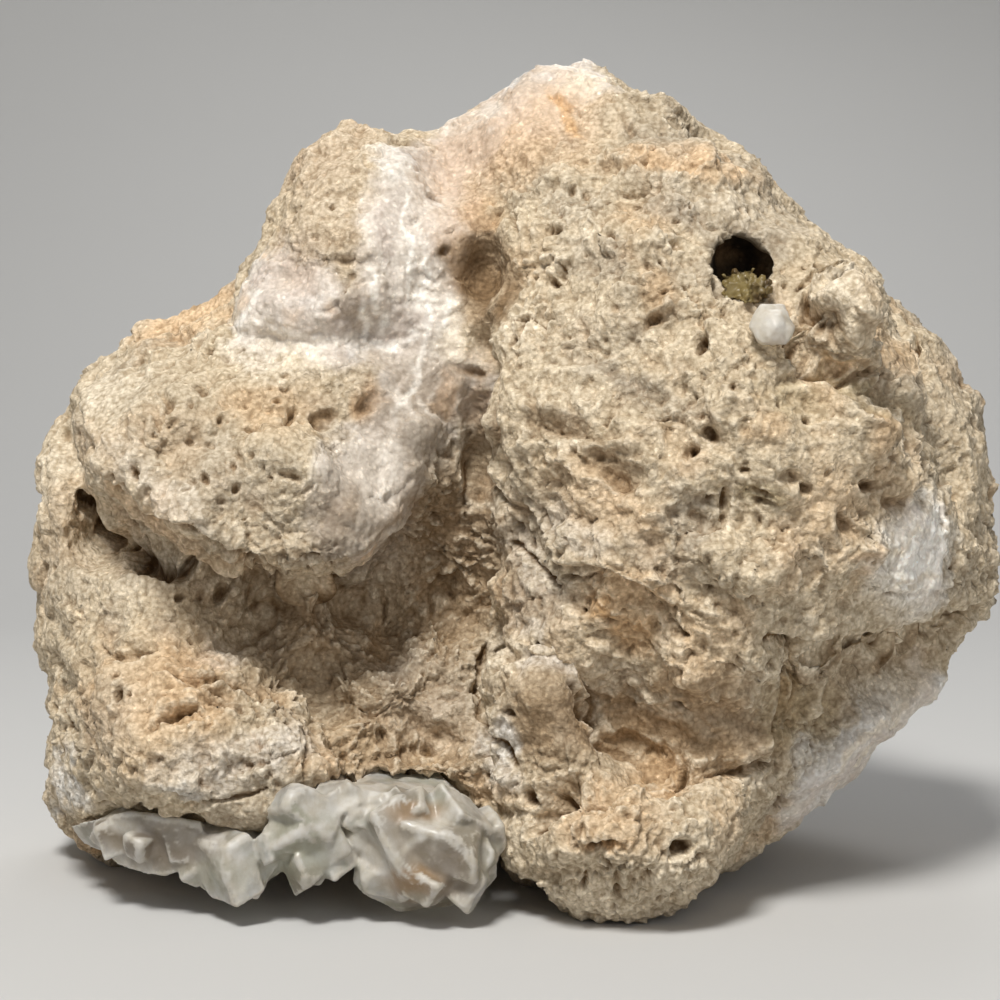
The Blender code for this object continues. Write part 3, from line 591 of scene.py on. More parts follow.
def line_distance(places, line):
    """Distance to a line of points, the side it is on (1 is left) and the share of its way."""
    line = np.array(line, float)
    best = np.full(len(places), 1e9)
    side = np.ones(len(places))
    share = np.zeros(len(places))
    for k in range(len(line) - 1):
        way = line[k + 1] - line[k]
        to = places - line[k]
        part = np.clip(to @ way / (way @ way), 0.0, 1.0)
        gap = to - part[:, None] * way
        far = np.linalg.norm(gap, axis=1)
        nearer = far < best
        best = np.where(nearer, far, best)
        side = np.where(nearer, np.sign(to[:, 0] * way[1] - to[:, 1] * way[0]), side)
        share = np.where(nearer, (k + part) / (len(line) - 1), share)
    return best, side, share


def in_reach(places, line, reach):
    """Indices of the places within reach of the box round a line of points."""
    line = np.array(line, float)
    low, high = line.min(0) - reach, line.max(0) + reach
    return np.flatnonzero(np.all((places > low) & (places < high), axis=1))


def new_object(name, data):
    thing = bpy.data.objects.new(name, data)
    bpy.context.scene.collection.objects.link(thing)
    return thing


def apply_modifiers(thing):
    """Keeps the shape that the object's modifiers give it and clears them."""
    depsgraph = bpy.context.evaluated_depsgraph_get()
    shaped = bpy.data.meshes.new_from_object(thing.evaluated_get(depsgraph))
    thing.modifiers.clear()
    thing.data = shaped


def soften(thing, rounds):
    """Evens out the object's surface, a number of times."""
    smooth = thing.modifiers.new("soften", "SMOOTH")
    smooth.factor = 0.5
    smooth.iterations = rounds
    apply_modifiers(thing)


def remesh(thing, voxel, rounds):
    """Rebuilds the object's surface on a fine grid and softens it."""
    grid = thing.modifiers.new("grid", "REMESH")
    grid.mode = "VOXEL"
    grid.voxel_size = voxel * MM
    apply_modifiers(thing)
    keep_largest(thing)
    soften(thing, rounds)


def keep_largest(thing):
    """Drops the small closed bubbles that lie apart from the main surface."""
    mesh = thing.data
    edges = edge_arrays(mesh)
    label = np.arange(len(mesh.vertices))
    while True:
        low = np.minimum(label[edges[:, 0]], label[edges[:, 1]])
        lower = label.copy()
        np.minimum.at(lower, edges[:, 0], low)
        np.minimum.at(lower, edges[:, 1], low)
        lower = lower[lower]
        if np.array_equal(lower, label):
            break
        label = lower
    largest = np.argmax(np.bincount(label))
    keep = face_points(mesh, (label == largest).astype(np.int32), np.minimum) > 0
    thing.data, _ = cut_out(mesh, keep, mesh.name)


def read(rows, name, width=1, kind=np.int32):
    """The named values of a mesh's points, edges, faces or corners."""
    flat = np.empty(len(rows) * width, kind)
    rows.foreach_get(name, flat)
    return flat.reshape(-1, width) if width > 1 else flat


def read_points(mesh):
    return read(mesh.vertices, "co", 3, np.float32).astype(np.float64) / MM


def read_normals(mesh):
    return read(mesh.vertex_normals, "vector", 3, np.float32).astype(np.float64)


def edge_arrays(mesh):
    return read(mesh.edges, "vertices", 2)


def face_centres(mesh):
    return read(mesh.polygons, "center", 3, np.float32).astype(np.float64) / MM


def face_points(mesh, values, reduce):
    """The least or greatest of the values at each face's points."""
    corners = read(mesh.loops, "vertex_index")
    return reduce.reduceat(values[corners], read(mesh.polygons, "loop_start"))


def write_points(mesh, points):
    """Gives the mesh its points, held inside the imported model's box."""
    low, high = (np.array(corner) / MM for corner in cad_box)
    held = np.clip(points, low + 0.01, high - 0.01)
    mesh.vertices.foreach_set("co", (held * MM).astype(np.float32).ravel())
    mesh.update()


def write_attribute(mesh, name, values):
    """Stores one number or one colour for each point of the mesh."""
    if values.ndim == 1:
        mesh.attributes.new(name, "FLOAT", "POINT").data.foreach_set(
            "value", values.astype(np.float32))
        return
    colours = np.ones((len(values), 4), np.float32)
    colours[:, :3] = values
    mesh.attributes.new(name, "FLOAT_COLOR", "POINT").data.foreach_set("color", colours.ravel())


def cut_out(whole, keep, name):
    """A new mesh with only the faces kept, and the indices of their points in the whole."""
    sizes = read(whole.polygons, "loop_total")
    kept = read(whole.loops, "vertex_index")[np.repeat(keep, sizes)]
    used, renumbered = np.unique(kept, return_inverse=True)
    sizes = sizes[keep]
    mesh = bpy.data.meshes.new(name)
    mesh.vertices.add(len(used))
    mesh.loops.add(len(kept))
    mesh.polygons.add(len(sizes))
    points = read(whole.vertices, "co", 3, np.float32)
    mesh.vertices.foreach_set("co", points[used].ravel())
    mesh.loops.foreach_set("vertex_index", renumbered.astype(np.int32).ravel())
    mesh.polygons.foreach_set("loop_start", np.concatenate([[0], np.cumsum(sizes)[:-1]]))
    mesh.update(calc_edges=True)
    return mesh, used


def copy_of_nodes(name, swells):
    """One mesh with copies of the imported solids, each swollen by its own number of mm."""
    whole = bmesh.new()
    for node, swell in swells.items():
        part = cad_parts[node].data.copy()
        work = bmesh.new()
        work.from_mesh(part)
        bmesh.ops.remove_doubles(work, verts=work.verts, dist=0.01 * MM)
        work.normal_update()
        for corner in work.verts:
            corner.co += corner.normal * (swell * MM)
        work.to_mesh(part)
        work.free()
        whole.from_mesh(part)
        bpy.data.meshes.remove(part)
    mesh = bpy.data.meshes.new(name)
    whole.to_mesh(mesh)
    whole.free()
    return mesh


def divide_front(thing):
    """Halves the faces that the camera sees."""
    mesh = thing.data
    work = bmesh.new()
    work.from_mesh(mesh)
    points = read_points(mesh)
    shares = seen_share(points, read_normals(mesh))
    wanted = (shares > 0.05) & (points[:, 1] < FRONT_DEPTH)
    edges = [edge for edge in work.edges
             if wanted[edge.verts[0].index] and wanted[edge.verts[1].index]]
    bmesh.ops.subdivide_edges(work, edges=edges, cuts=1, use_grid_fill=True)
    work.to_mesh(mesh)
    work.free()
    soften(thing, 3)


def node_tree_of(node):
    """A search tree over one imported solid, in mm."""
    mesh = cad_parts[node].data
    corners = [vertex.co / MM for vertex in mesh.vertices]
    faces = [tuple(face.vertices) for face in mesh.polygons]
    return BVHTree.FromPolygons(corners, faces)


def distance_to(tree, points, limit):
    """Distance of each point to the solid, up to a limit."""
    found = np.full(len(points), limit)
    for index, point in enumerate(points):
        place, _, _, far = tree.find_nearest(Vector(point), limit)
        if place is not None:
            found[index] = far
    return found


def spar_depths(points):
    """For each spar node, how far inside its own part of the surface each point is, in mm."""
    rock = node_tree_of("limestone_matrix")
    depths = {}
    for node in SPAR_NODES:
        low, high = (np.array(corner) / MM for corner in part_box(node))
        inside = np.all((points > low - SPAR_REACH) & (points < high + SPAR_REACH), axis=1)
        index = np.flatnonzero(inside)
        depth = np.full(len(points), -SPAR_REACH)
        own = distance_to(node_tree_of(node), points[index], SPAR_REACH)
        other = distance_to(rock, points[index], SPAR_REACH)
        depth[index] = other - own
        depths[node] = depth
    return depths


def textures(places, seen):
    """How much of each kind of texture there is at each point."""
    shares = {}
    for kind, ovals in TEXTURES.items():
        shares[kind] = np.zeros(len(places))
        for across, down, half_width, half_height, turn, strength in ovals:
            here = patch_share(places, across, down, half_width, half_height, turn, 0.5)
            shares[kind] = np.maximum(shares[kind], here * strength * seen)
    return shares


def feature_relief(places, seen, uneven):
    """Height of the broad forms, hollows, pits, cracks and steps of the front."""
    height = np.zeros(len(places))
    for forms, soft in ((FORMS, 0.6), (HOLLOWS, 0.25)):
        for across, down, half_width, half_height, turn, rise in forms:
            height += rise * seen * patch_share(
                places, across, down, half_width, half_height, turn, soft)
    for across, down, half_width, half_height, turn, depth in PITS:
        near = in_reach(places, [(across, down)], 1.6 * max(half_width, half_height))
        share = patch_share(places[near], across, down, half_width, half_height, turn, 0.45)
        height[near] -= depth * share * seen[near]
    for line, half_width, depth in CRACKS:
        near = in_reach(places, line, 3 * half_width)
        far, _, way = line_distance(places[near], line)
        width = half_width * (0.35 + 0.65 * np.sin(math.pi * np.clip(way, 0.02, 0.98)))
        width *= np.clip(1.0 + 0.8 * uneven[near], 0.25, 2.0)
        height[near] -= depth * (1.0 - smooth_step(0.25, 1.15, far / width)) * seen[near]
    for line, rise, reach in STEPS:
        near = in_reach(places, line, 3 * reach)
        far, side, way = line_distance(places[near], line)
        fade = np.exp(-far / reach) * smooth_step(0.0, 0.12, way) * smooth_step(0.0, 0.12, 1 - way)
        sharp = np.clip(far * side / 3.0, -1.0, 1.0)
        height[near] += 0.5 * rise * sharp * fade * seen[near]
    return height


def rock_relief(points, places, seen, spar):
    """Height of the broken surface at each point, in mm."""
    kinds = textures(places, seen)
    plain = (1.0 - 0.75 * kinds["smooth"]) * (1.0 - 0.7 * spar)
    bent = points + 1.6 * noise_ways(points, 6.0, 3, 300, 301, 302)
    frayed = points + 0.7 * noise_ways(points, 2.2, 2, 320, 321, 322)
    height = 0.7 * rough_noise(bent, 16.0, 2, 11)
    # creases between rounded lumps
    folds = np.abs(rough_noise(bent, 9.0, 3, 21))
    height += 1.6 * (np.minimum(folds, 0.6) - 0.3) * (0.3 + 0.7 * plain)
    # broken faces, each with a lean and a level of its own
    rugged = plain * (0.35 + 0.65 * smooth_step(-0.5, 0.6, rough_noise(points, 17.0, 3, 25)))
    for span, lean, level, seed in ((9.0, 3.0, 0.6, 23), (4.2, 1.6, 0.6, 27), (2.0, 0.5, 0.25, 31)):
        _, _, way, own = cells(frayed, span, seed)
        leaning = lean * np.einsum("ij,ij->i", way, own - 0.5)
        height += (leaning + level * (own[:, 0] - 0.5)) * rugged
    height += 0.3 * rough_noise(points, 1.3, 2, 35) * rugged
    # flakes lie along the bedding, which dips to the right
    along = np.array([math.cos(0.5), 0.25, -math.sin(0.5)])
    bedded = bent - 0.68 * np.outer(bent @ along, along) / (along @ along)
    flakes = (0.25 + 0.75 * kinds["flaky"]) * plain
    height += flakes * ledged(1.6 * rough_noise(bedded, 6.5, 3, 41), 0.8)
    height += 0.6 * flakes * ledged(1.5 * rough_noise(bedded, 2.4, 2, 45), 0.7)
    # open pores
    near, _, _, own = cells(bent, 3.4, 51)
    open_pore = own[:, 0] < 0.22 + 0.5 * kinds["porous"]
    pore = (1.0 - smooth_step(0.12, 0.34, near)) * open_pore
    height -= (0.5 + 1.0 * own[:, 1]) * pore * plain
    near, _, _, own = cells(points, 1.7, 61)
    pore = (1.0 - smooth_step(0.15, 0.42, near)) * (own[:, 0] < 0.18 + 0.4 * kinds["porous"])
    height -= 0.45 * pore * plain
    # rounded crumbs
    near, second, _, _ = cells(bent, 1.5, 71)
    crumbs = smooth_step(0.02, 0.4, second - near)
    height += (0.8 * crumbs - 0.6) * (0.1 + 0.75 * kinds["crumbly"]) * rugged
    near, second, _, own = cells(bent, 3.1, 81)
    lumps = smooth_step(0.0, 0.5, second - near) * (0.6 + 0.8 * own[:, 0])
    height += (1.1 * lumps - 0.7) * kinds["crumbly"] * (1.0 - 0.5 * spar)
    # broken cleavage faces of the spar
    _, _, way, own = cells(bent, 7.0, 91)
    lean = own - 0.5
    height += 1.5 * np.einsum("ij,ij->i", way, lean) * spar
    _, _, way, own = cells(bent, 2.8, 95)
    height += 0.6 * np.einsum("ij,ij->i", way, own - 0.5) * spar
    return height + feature_relief(places, seen, rough_noise(points, 3.0, 2, 331)) * (
        1.0 - 0.35 * spar)


def lay(colour, tone, share):
    """Lays a tone over the colours, as much of it at each point as its share."""
    colour += share[:, None] * (linear(TONES[tone]) - colour)


def lay_patches(colour, patches, places, seen, soft):
    """Lays the patches over the colours where the camera sees them."""
    for across, down, half_width, half_height, turn, tone, strength in patches:
        lay(colour, tone, strength * seen * patch_share(
            places, across, down, half_width, half_height, turn, soft))


def surface_colours(points, places, seen, spar, hollow):
    """The broad colour of the surface at each point, as linear light, with painted shade in its
    recesses and hollows and painted light on its raised points.
    """
    colour = np.tile(linear(TONES["tan"]), (len(points), 1))
    broad = rough_noise(points, 24.0, 3, 111)
    fine = rough_noise(points, 6.0, 3, 121)
    lay(colour, "grey", 0.45 * smooth_step(0.1, 0.9, broad + 0.5 * fine))
    rosy = rough_noise(points, 18.0, 3, 131) + 0.4 * fine
    lay(colour, "peach", 0.4 * smooth_step(0.2, 1.0, rosy))
    lay(colour, "pale", 0.5 * smooth_step(0.2, 0.9, rough_noise(points, 9.0, 3, 141)))
    lay(colour, "ochre", 0.3 * smooth_step(0.5, 1.1, rough_noise(points, 13.0, 3, 151)))
    lay(colour, "white", spar)
    veil = rough_noise(points, 8.0, 3, 161)
    lay(colour, "purple", 0.8 * spar * smooth_step(-0.2, 0.5, veil))
    lay(colour, "smoke", 0.6 * spar * smooth_step(0.0, 0.7, rough_noise(points, 12.0, 3, 171)))
    lay(colour, "bluish", 0.5 * spar * smooth_step(0.2, 0.8, rough_noise(points, 5.0, 2, 181)))
    lay(colour, "peach", 0.6 * spar * smooth_step(0.4, 0.9, rough_noise(points, 7.0, 3, 191)))
    lay_patches(colour, PATCHES, places, seen, 0.55)
    # paler on raised points, browner and umber in the hollows: painted light and shade of the
    # relief
    lay(colour, "pale", 0.55 * smooth_step(0.1, 1.0, -hollow) * (1.0 - 0.6 * spar))
    lay(colour, "brown", 0.75 * np.clip(hollow, 0.0, 1.4) * (1.0 - 0.7 * spar))
    lay(colour, "umber", 0.6 * smooth_step(0.7, 1.4, hollow) * (1.0 - 0.6 * spar))
    return colour


def spread(values, edges, rounds):
    """Averages values with their neighbours', a number of times."""
    count = len(values)
    share = np.bincount(edges.ravel(), minlength=count) + 1.0
    for _ in range(rounds):
        summed = values.copy()
        summed += np.bincount(edges[:, 0], values[edges[:, 1]], minlength=count)
        summed += np.bincount(edges[:, 1], values[edges[:, 0]], minlength=count)
        values = summed / share
    return values


def spread_ways(ways, edges, rounds):
    """The same for rows of three values."""
    return np.stack([spread(ways[:, k], edges, rounds) for k in range(3)], axis=1)


def unfolded(before, after, edges):
    """The moved points, softened where moving them stretched the mesh."""
    def lengths(points):
        far = np.linalg.norm(points[edges[:, 0]] - points[edges[:, 1]], axis=1)
        ends = edges.ravel()
        return np.bincount(ends, np.repeat(far, 2)) / np.bincount(ends)

    stretch = spread(lengths(after) / lengths(before), edges, 3)
    share = smooth_step(1.7, 2.8, stretch)[:, None]
    return after + share * (spread_ways(after, edges, 8) - after)


def finish_piece(thing, material, slot, *nodes):
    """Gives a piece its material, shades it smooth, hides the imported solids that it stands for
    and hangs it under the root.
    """
    thing.data.materials.clear()
    thing.data.materials.append(material)
    thing.data.shade_smooth()
    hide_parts(*nodes)
    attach(thing, "root")


def add_node(tree, kind, inputs=None, **settings):
    """A shader node with its settings, and with values or links for its sockets."""
    made = tree.nodes.new(kind)
    for name, value in settings.items():
        setattr(made, name, value)
    for socket, value in (inputs or {}).items():
        if isinstance(value, bpy.types.NodeSocket):
            tree.links.new(value, made.inputs[socket])
        else:
            made.inputs[socket].default_value = value
    return made


def new_material(name):
    paint = bpy.data.materials.new(name)
    paint.use_nodes = True
    return paint, paint.node_tree, paint.node_tree.nodes["Principled BSDF"]


def noise_value(tree, place, size, detail=2.0, roughness=0.55):
    """Noise with features of about the given size in mm."""
    made = add_node(tree, "ShaderNodeTexNoise", {
        "Vector": place, "Scale": 1.0 / (size * MM), "Detail": detail, "Roughness": roughness})
    return made.outputs["Fac"]


def ranged(tree, value, low, high, to_low, to_high):
    """Maps the values from low to high onto those from to_low to to_high."""
    made = add_node(tree, "ShaderNodeMapRange", {
        "Value": value, "From Min": low, "From Max": high, "To Min": to_low, "To Max": to_high})
    return made.outputs["Result"]


def blend(tree, factor, first, second, mode="MIX"):
    """Mixes two colours."""
    made = add_node(tree, "ShaderNodeMix", {0: factor, 6: first, 7: second},
                    data_type="RGBA", blend_type=mode)
    return made.outputs[2]


def total(tree, *terms):
    """Adds up values, each times its own weight."""
    value = 0.0
    for socket, weight in terms:
        made = add_node(tree, "ShaderNodeMath", {0: socket, 1: weight, 2: value},
                        operation="MULTIPLY_ADD")
        value = made.outputs[0]
    return value


def stone_material(name, subsurface):
    """Granular stone in the surface's own broad colour, with a darker, browner painted shade
    between its grains, a painted highlight on their tops and painted glints on some; where it is
    white it is finer grained and glossier, and its painted shade is lighter."""
    paint, tree, shader = new_material(name)
    place = add_node(tree, "ShaderNodeTexCoord").outputs["Object"]
    tint = add_node(tree, "ShaderNodeAttribute", attribute_name="tint").outputs["Color"]
    white = add_node(tree, "ShaderNodeAttribute", attribute_name="whiteness").outputs["Fac"]
    grains = add_node(tree, "ShaderNodeTexVoronoi", {"Vector": place, "Scale": 1.0 / (1.0 * MM)})
    height = total(tree, (noise_value(tree, place, 1.0, 2.0, 0.7), 0.8),
                   (noise_value(tree, place, 2.4, 3.0, 0.6), 0.8),
                   (grains.outputs["Distance"], -0.5))
    # by the grains' height: painted shade between the grains, and a painted highlight on their tops
    grain_light = ranged(tree, height, 0.3, 0.85, 0.0, 1.0)
    painted_shade = blend(tree, white, GRAIN_PAINTED_SHADE, SPAR_PAINTED_SHADE)
    low = blend(tree, 1.0, tint, painted_shade, "MULTIPLY")
    high = blend(tree, 1.0, tint, (1.2, 1.2, 1.2, 1.0), "MULTIPLY")
    colour = blend(tree, grain_light, low, high)
    # some cells paler: painted glints of the grains, which are glossier too
    glints = add_node(tree, "ShaderNodeTexVoronoi", {"Vector": place, "Scale": 1.0 / (0.6 * MM)})
    glint_share = ranged(tree, glints.outputs["Color"], 0.76, 0.9, 0.0, 0.6)
    painted_glint = blend(tree, 1.0, colour, (1.5, 1.5, 1.5, 1.0), "MULTIPLY")
    colour = blend(tree, glint_share, colour, painted_glint)
    tree.links.new(colour, shader.inputs["Base Color"])
    plain = ranged(tree, white, 0.0, 1.0, 0.85, 0.5)
    shine = ranged(tree, glints.outputs["Color"], 0.86, 0.92, 0.0, -0.5)
    shine = total(tree, (plain, 1.0), (shine, 1.0))
    tree.links.new(shine, shader.inputs["Roughness"])
    depth = ranged(tree, white, 0.0, 1.0, 0.42 * MM, 0.2 * MM)
    bump = add_node(tree, "ShaderNodeBump", {
        "Height": height, "Strength": 1.0, "Distance": depth})
    tree.links.new(bump.outputs["Normal"], shader.inputs["Normal"])
    shader.inputs["Specular IOR Level"].default_value = 0.35
    shader.inputs["Subsurface Weight"].default_value = subsurface
    shader.inputs["Subsurface Radius"].default_value = (1.0, 0.85, 0.7)
    shader.inputs["Subsurface Scale"].default_value = 1.2 * MM
    return paint


def crystal_material(name, absorb, density, roughness, transmission):
    """Translucent calcite in its own broad colour: light passes through it and is tinted."""
    paint, tree, shader = new_material(name)
    place = add_node(tree, "ShaderNodeTexCoord").outputs["Object"]
    tint = add_node(tree, "ShaderNodeAttribute", attribute_name="tint").outputs["Color"]
    cloud = ranged(tree, noise_value(tree, place, 3.0, 4.0, 0.65), 0.35, 0.65, 0.0, 1.0)
    dull = blend(tree, 1.0, tint, (0.80, 0.76, 0.68, 1.0), "MULTIPLY")
    body = blend(tree, cloud, dull, tint)
    tree.links.new(body, shader.inputs["Base Color"])
    frost = ranged(tree, noise_value(tree, place, 2.0, 4.0, 0.6), 0.35, 0.7,
                   roughness * 0.7, roughness * 1.5)
    tree.links.new(frost, shader.inputs["Roughness"])
    fine = noise_value(tree, place, 1.6, 2.0, 0.6)
    bump = add_node(tree, "ShaderNodeBump", {
        "Height": fine, "Strength": 0.15, "Distance": 0.15 * MM})
    tree.links.new(bump.outputs["Normal"], shader.inputs["Normal"])
    shader.inputs["IOR"].default_value = 1.58
    shader.inputs["Specular IOR Level"].default_value = 0.3
    shader.inputs["Transmission Weight"].default_value = transmission
    volume = add_node(tree, "ShaderNodeVolumeAbsorption", {
        "Color": (*absorb, 1.0), "Density": density})
    tree.links.new(volume.outputs["Volume"],
                   tree.nodes["Material Output"].inputs["Volume"])
    return paint


LIMESTONE = stone_material("tan limestone", 0.0)
SPAR = stone_material("white spar", 0.3)
CLEAR = crystal_material("clear calcite", (0.95, 0.88, 0.77), 12.0, 0.42, 0.42)
YELLOW = crystal_material("yellow calcite", (0.70, 0.62, 0.28), 150.0, 0.4, 0.3)


def sight_line(across, down):
    """The way from the camera through a place in the picture."""
    right, up = (across - PICTURE / 2) / FOCAL, (PICTURE / 2 - down) / FOCAL
    way = np.array([right, math.cos(CAMERA_DIP) + up * math.sin(CAMERA_DIP),
                    up * math.cos(CAMERA_DIP) - math.sin(CAMERA_DIP)])
    return way / np.linalg.norm(way)


def add_plugs(mesh):
    """Adds a ball at each narrow fold, just under the surface around it."""
    trees = [node_tree_of(node) for node in ("limestone_matrix", "calcite_spar_vein")]
    work = bmesh.new()
    work.from_mesh(mesh)
    for across, down, radius, cover in PLUGS:
        depths = []
        for turn in np.linspace(0.0, 2 * math.pi, 12, endpoint=False):
            way = sight_line(across + PLUG_RING * math.cos(turn),
                             down + PLUG_RING * math.sin(turn))
            hits = [tree.ray_cast(Vector(CAMERA_AT), Vector(way))[3] for tree in trees]
            depths.append(min(far for far in hits if far is not None))
        centre = CAMERA_AT + sight_line(across, down) * (np.median(depths) + radius + cover)
        bmesh.ops.create_icosphere(work, subdivisions=3, radius=radius * MM,
                                   matrix=Matrix.Translation(Vector(centre * MM)))
    work.to_mesh(mesh)
    work.free()


def build_surface():
    """The fine surface of the rock and its spar, as one mesh in which each point knows how deep
    it is in each spar."""
    swells = {"limestone_matrix": 0.0, **{node: SPAR_SWELL for node in SPAR_NODES}}
    mesh = copy_of_nodes("surface", swells)
    add_plugs(mesh)
    thing = new_object("surface", mesh)
    remesh(thing, ROCK_VOXEL, ROCK_ROUNDS)
    divide_front(thing)
    return thing


def rock_pieces(mesh, limestone):
    """Shares of the limestone's faces, each small enough for one piece."""
    centre = face_centres(mesh)
    places, _ = seen_at(centre)
    front = centre[:, 1] < 0
    shares = {}
    for k, (low, high) in enumerate(zip(FRONT_BANDS, FRONT_BANDS[1:])):
        band = (places[:, 0] >= low) & (places[:, 0] < high)
        shares[f"limestone_front_{k + 1}"] = limestone & front & band
    shares["limestone_back_left"] = limestone & ~front & (places[:, 0] < PICTURE / 2)
    shares["limestone_back_right"] = limestone & ~front & (places[:, 0] >= PICTURE / 2)
    return shares


def stone_share(mesh, keep, name, colours, whiteness):
    """A piece with the kept faces of the surface and the looks of their points."""
    part, used = cut_out(mesh, keep, name)
    write_attribute(part, "tint", colours[used])
    write_attribute(part, "whiteness", whiteness[used])
    return new_object(name, part)


def build_rock():
    """The limestone and its spar, each as its own share of one surface."""
    surface = build_surface()
    mesh = surface.data
    points = read_points(mesh)
    edges = edge_arrays(mesh)
    normals = read_normals(mesh)
    seen = spread(seen_share(points, normals), edges, 6)
    normals = spread_ways(normals, edges, 8)
    normals /= np.linalg.norm(normals, axis=1)[:, None] + 1e-9
    places, _ = seen_at(points)
    warp = noise_ways(points, 5.0, 3, 201, 211)
    depths = spar_depths(points)
    ragged = 0.7 * rough_noise(points, 3.0, 2, 221)
    depths = {node: depth + ragged for node, depth in depths.items()}
    spar = smooth_step(-2.5, 2.5, np.max(list(depths.values()), axis=0))
    height = rock_relief(points, places + 4.0 * warp, seen, spar)
    level = spread(height, edges, 14)
    hollow = np.clip((level - height) / 1.1, -1.5, 1.5)
    deepest = np.max(list(depths.values()), axis=0)
    whitened = smooth_step(-2.6, 3.6, deepest + 2.4 * rough_noise(points, 4.0, 3, 231))
    colours = surface_colours(points, places + 11.0 * warp, seen, whitened, hollow)
    moved = unfolded(points, points + normals * height[:, None], edges)
    sunk = np.clip(0.3 * (deepest + 0.3), 0.0, 2.0)
    write_points(mesh, moved - normals * sunk[:, None])
    limestone = face_points(mesh, deepest, np.minimum) < 3.0
    for name, keep in rock_pieces(mesh, limestone).items():
        piece = stone_share(mesh, keep, name, colours, whitened)
        finish_piece(piece, LIMESTONE, "tan_limestone", "limestone_matrix")
    for node in SPAR_NODES:
        depth = depths[node]
        keep = face_points(mesh, depth, np.maximum) > -1.2
        sink = np.clip(0.3 * (0.3 - depth), 0.0, 2.0)
        write_points(mesh, moved - normals * sink[:, None])
        piece = stone_share(mesh, keep, node + "_fine", colours, whitened)
        close = piece.modifiers.new("body", "SOLIDIFY")
        close.thickness = SKIN * MM
        close.offset = -1.0
        apply_modifiers(piece)
        finish_piece(piece, SPAR, "white_spar", node)
    bpy.data.objects.remove(surface)


def cleavage_block(work, centre, size, rng):
    """Adds a block bounded by calcite's three cleavage directions, turned at random."""
    skew = math.cos(math.radians(CLEAVAGE_ANGLE))
    axes = np.array([[1.0, skew, skew], [skew, 1.0, skew], [skew, skew, 1.0]])
    axes /= np.linalg.norm(axes, axis=1)[:, None]
    turn = rng.uniform(-BLOCK_SPREAD, BLOCK_SPREAD, 3) + np.array(BLOCK_TURN)
    turn = np.array(Euler(turn).to_matrix())
    lengths = size * rng.uniform(0.65, 1.25, 3)
    corners = []
    for signs in itertools.product((-1, 1), repeat=3):
        ends = [np.array(signs, dtype=float)]
        if rng.random() < CORNER_LOST:
            ends = [ends[0] - ends[0] * cut * one
                    for cut, one in zip(rng.uniform(0.4, 1.1, 3), np.eye(3))]
        for end in ends:
            at = centre + turn @ ((end * lengths / 2) @ axes)
            corners.append(work.verts.new(at * MM))
    hull = bmesh.ops.convex_hull(work, input=corners)
    flats = [face for face in hull["geom"] if isinstance(face, bmesh.types.BMFace)]
    rims = {edge for face in flats for edge in face.edges if edge.calc_face_angle(0.0) > 0.3}
    bmesh.ops.bevel(work, geom=list(rims), offset=BLOCK_EDGE * size * MM, segments=1,
                    affect="EDGES")


def build_crystals():
    """The blocky crystals under the lower left edge, broken along their cleavage."""
    node = "calcite_crystal_cluster"
    mesh = copy_of_nodes("cluster", {node: -0.4})
    tree = node_tree_of(node)
    work = bmesh.new()
    work.from_mesh(mesh)
    rng = np.random.default_rng(441)
    for across, down, size in BLOCKS:
        way = sight_line(across, down)
        hit, _, _, _ = tree.ray_cast(Vector(CAMERA_AT), Vector(way))
        if hit is not None:
            cleavage_block(work, np.array(hit) + BLOCK_SINK * size * way, size, rng)
    work.to_mesh(mesh)
    work.free()
    piece = new_object("crystal_cluster_fine", mesh)
    remesh(piece, CLUSTER_VOXEL, 1)
    mesh = piece.data
    points = read_points(mesh)
    normals = read_normals(mesh)
    places, _ = seen_at(points)
    seen = seen_share(points, normals)
    height = 0.12 * rough_noise(points, 5.0, 2, 411) + 0.06 * rough_noise(points, 1.8, 2, 413)
    # small steps of the cleavage
    height += 0.35 * ledged(rough_noise(points, 6.0, 3, 421), 0.3)
    shaped = points + normals * height[:, None]
    edges = edge_arrays(mesh)
    raised = shaped - spread_ways(shaped, edges, 5)
    ridge = smooth_step(0.02, 0.1, np.einsum("ij,ij->i", raised, normals))
    write_points(mesh, shaped)
    colour = np.tile(linear(TONES["bluish"]), (len(points), 1))
    veil = rough_noise(points, 6.0, 3, 415)
    lay(colour, "green", 0.6 * smooth_step(-0.4, 0.4, veil))
    lay(colour, "smoke", 0.6 * smooth_step(0.0, 0.5, rough_noise(points, 8.0, 2, 419)))
    lay(colour, "frost", 0.9 * smooth_step(-0.1, 0.4, rough_noise(points, 5.0, 3, 417)))
    lay_patches(colour, CRYSTAL_PATCHES, places + 6.0 * veil[:, None], seen, 0.5)
    lay(colour, "frost", 0.85 * ridge)
    write_attribute(mesh, "tint", colour)
    finish_piece(piece, CLEAR, "clear_calcite", node)


def build_single():
    """The one rounded crystal beside the knob."""
    piece = new_object("single_crystal_fine", copy_of_nodes("single", {
        "calcite_single_crystal": 0.4}))
    remesh(piece, SMALL_VOXEL, 14)
    mesh = piece.data
    points = read_points(mesh)
    height = 0.35 * rough_noise(points, 3.0, 3, 421)
    shift = np.array([-1.6, 0.0, 0.0])
    write_points(mesh, points + shift + read_normals(mesh) * height[:, None])
    colour = np.tile(linear(TONES["frost"]), (len(points), 1))
    lay(colour, "purple", 0.5 * smooth_step(0.0, 0.6, rough_noise(points, 3.0, 3, 425)))
    write_attribute(mesh, "tint", colour)
    finish_piece(piece, CLEAR, "clear_calcite", "calcite_single_crystal")


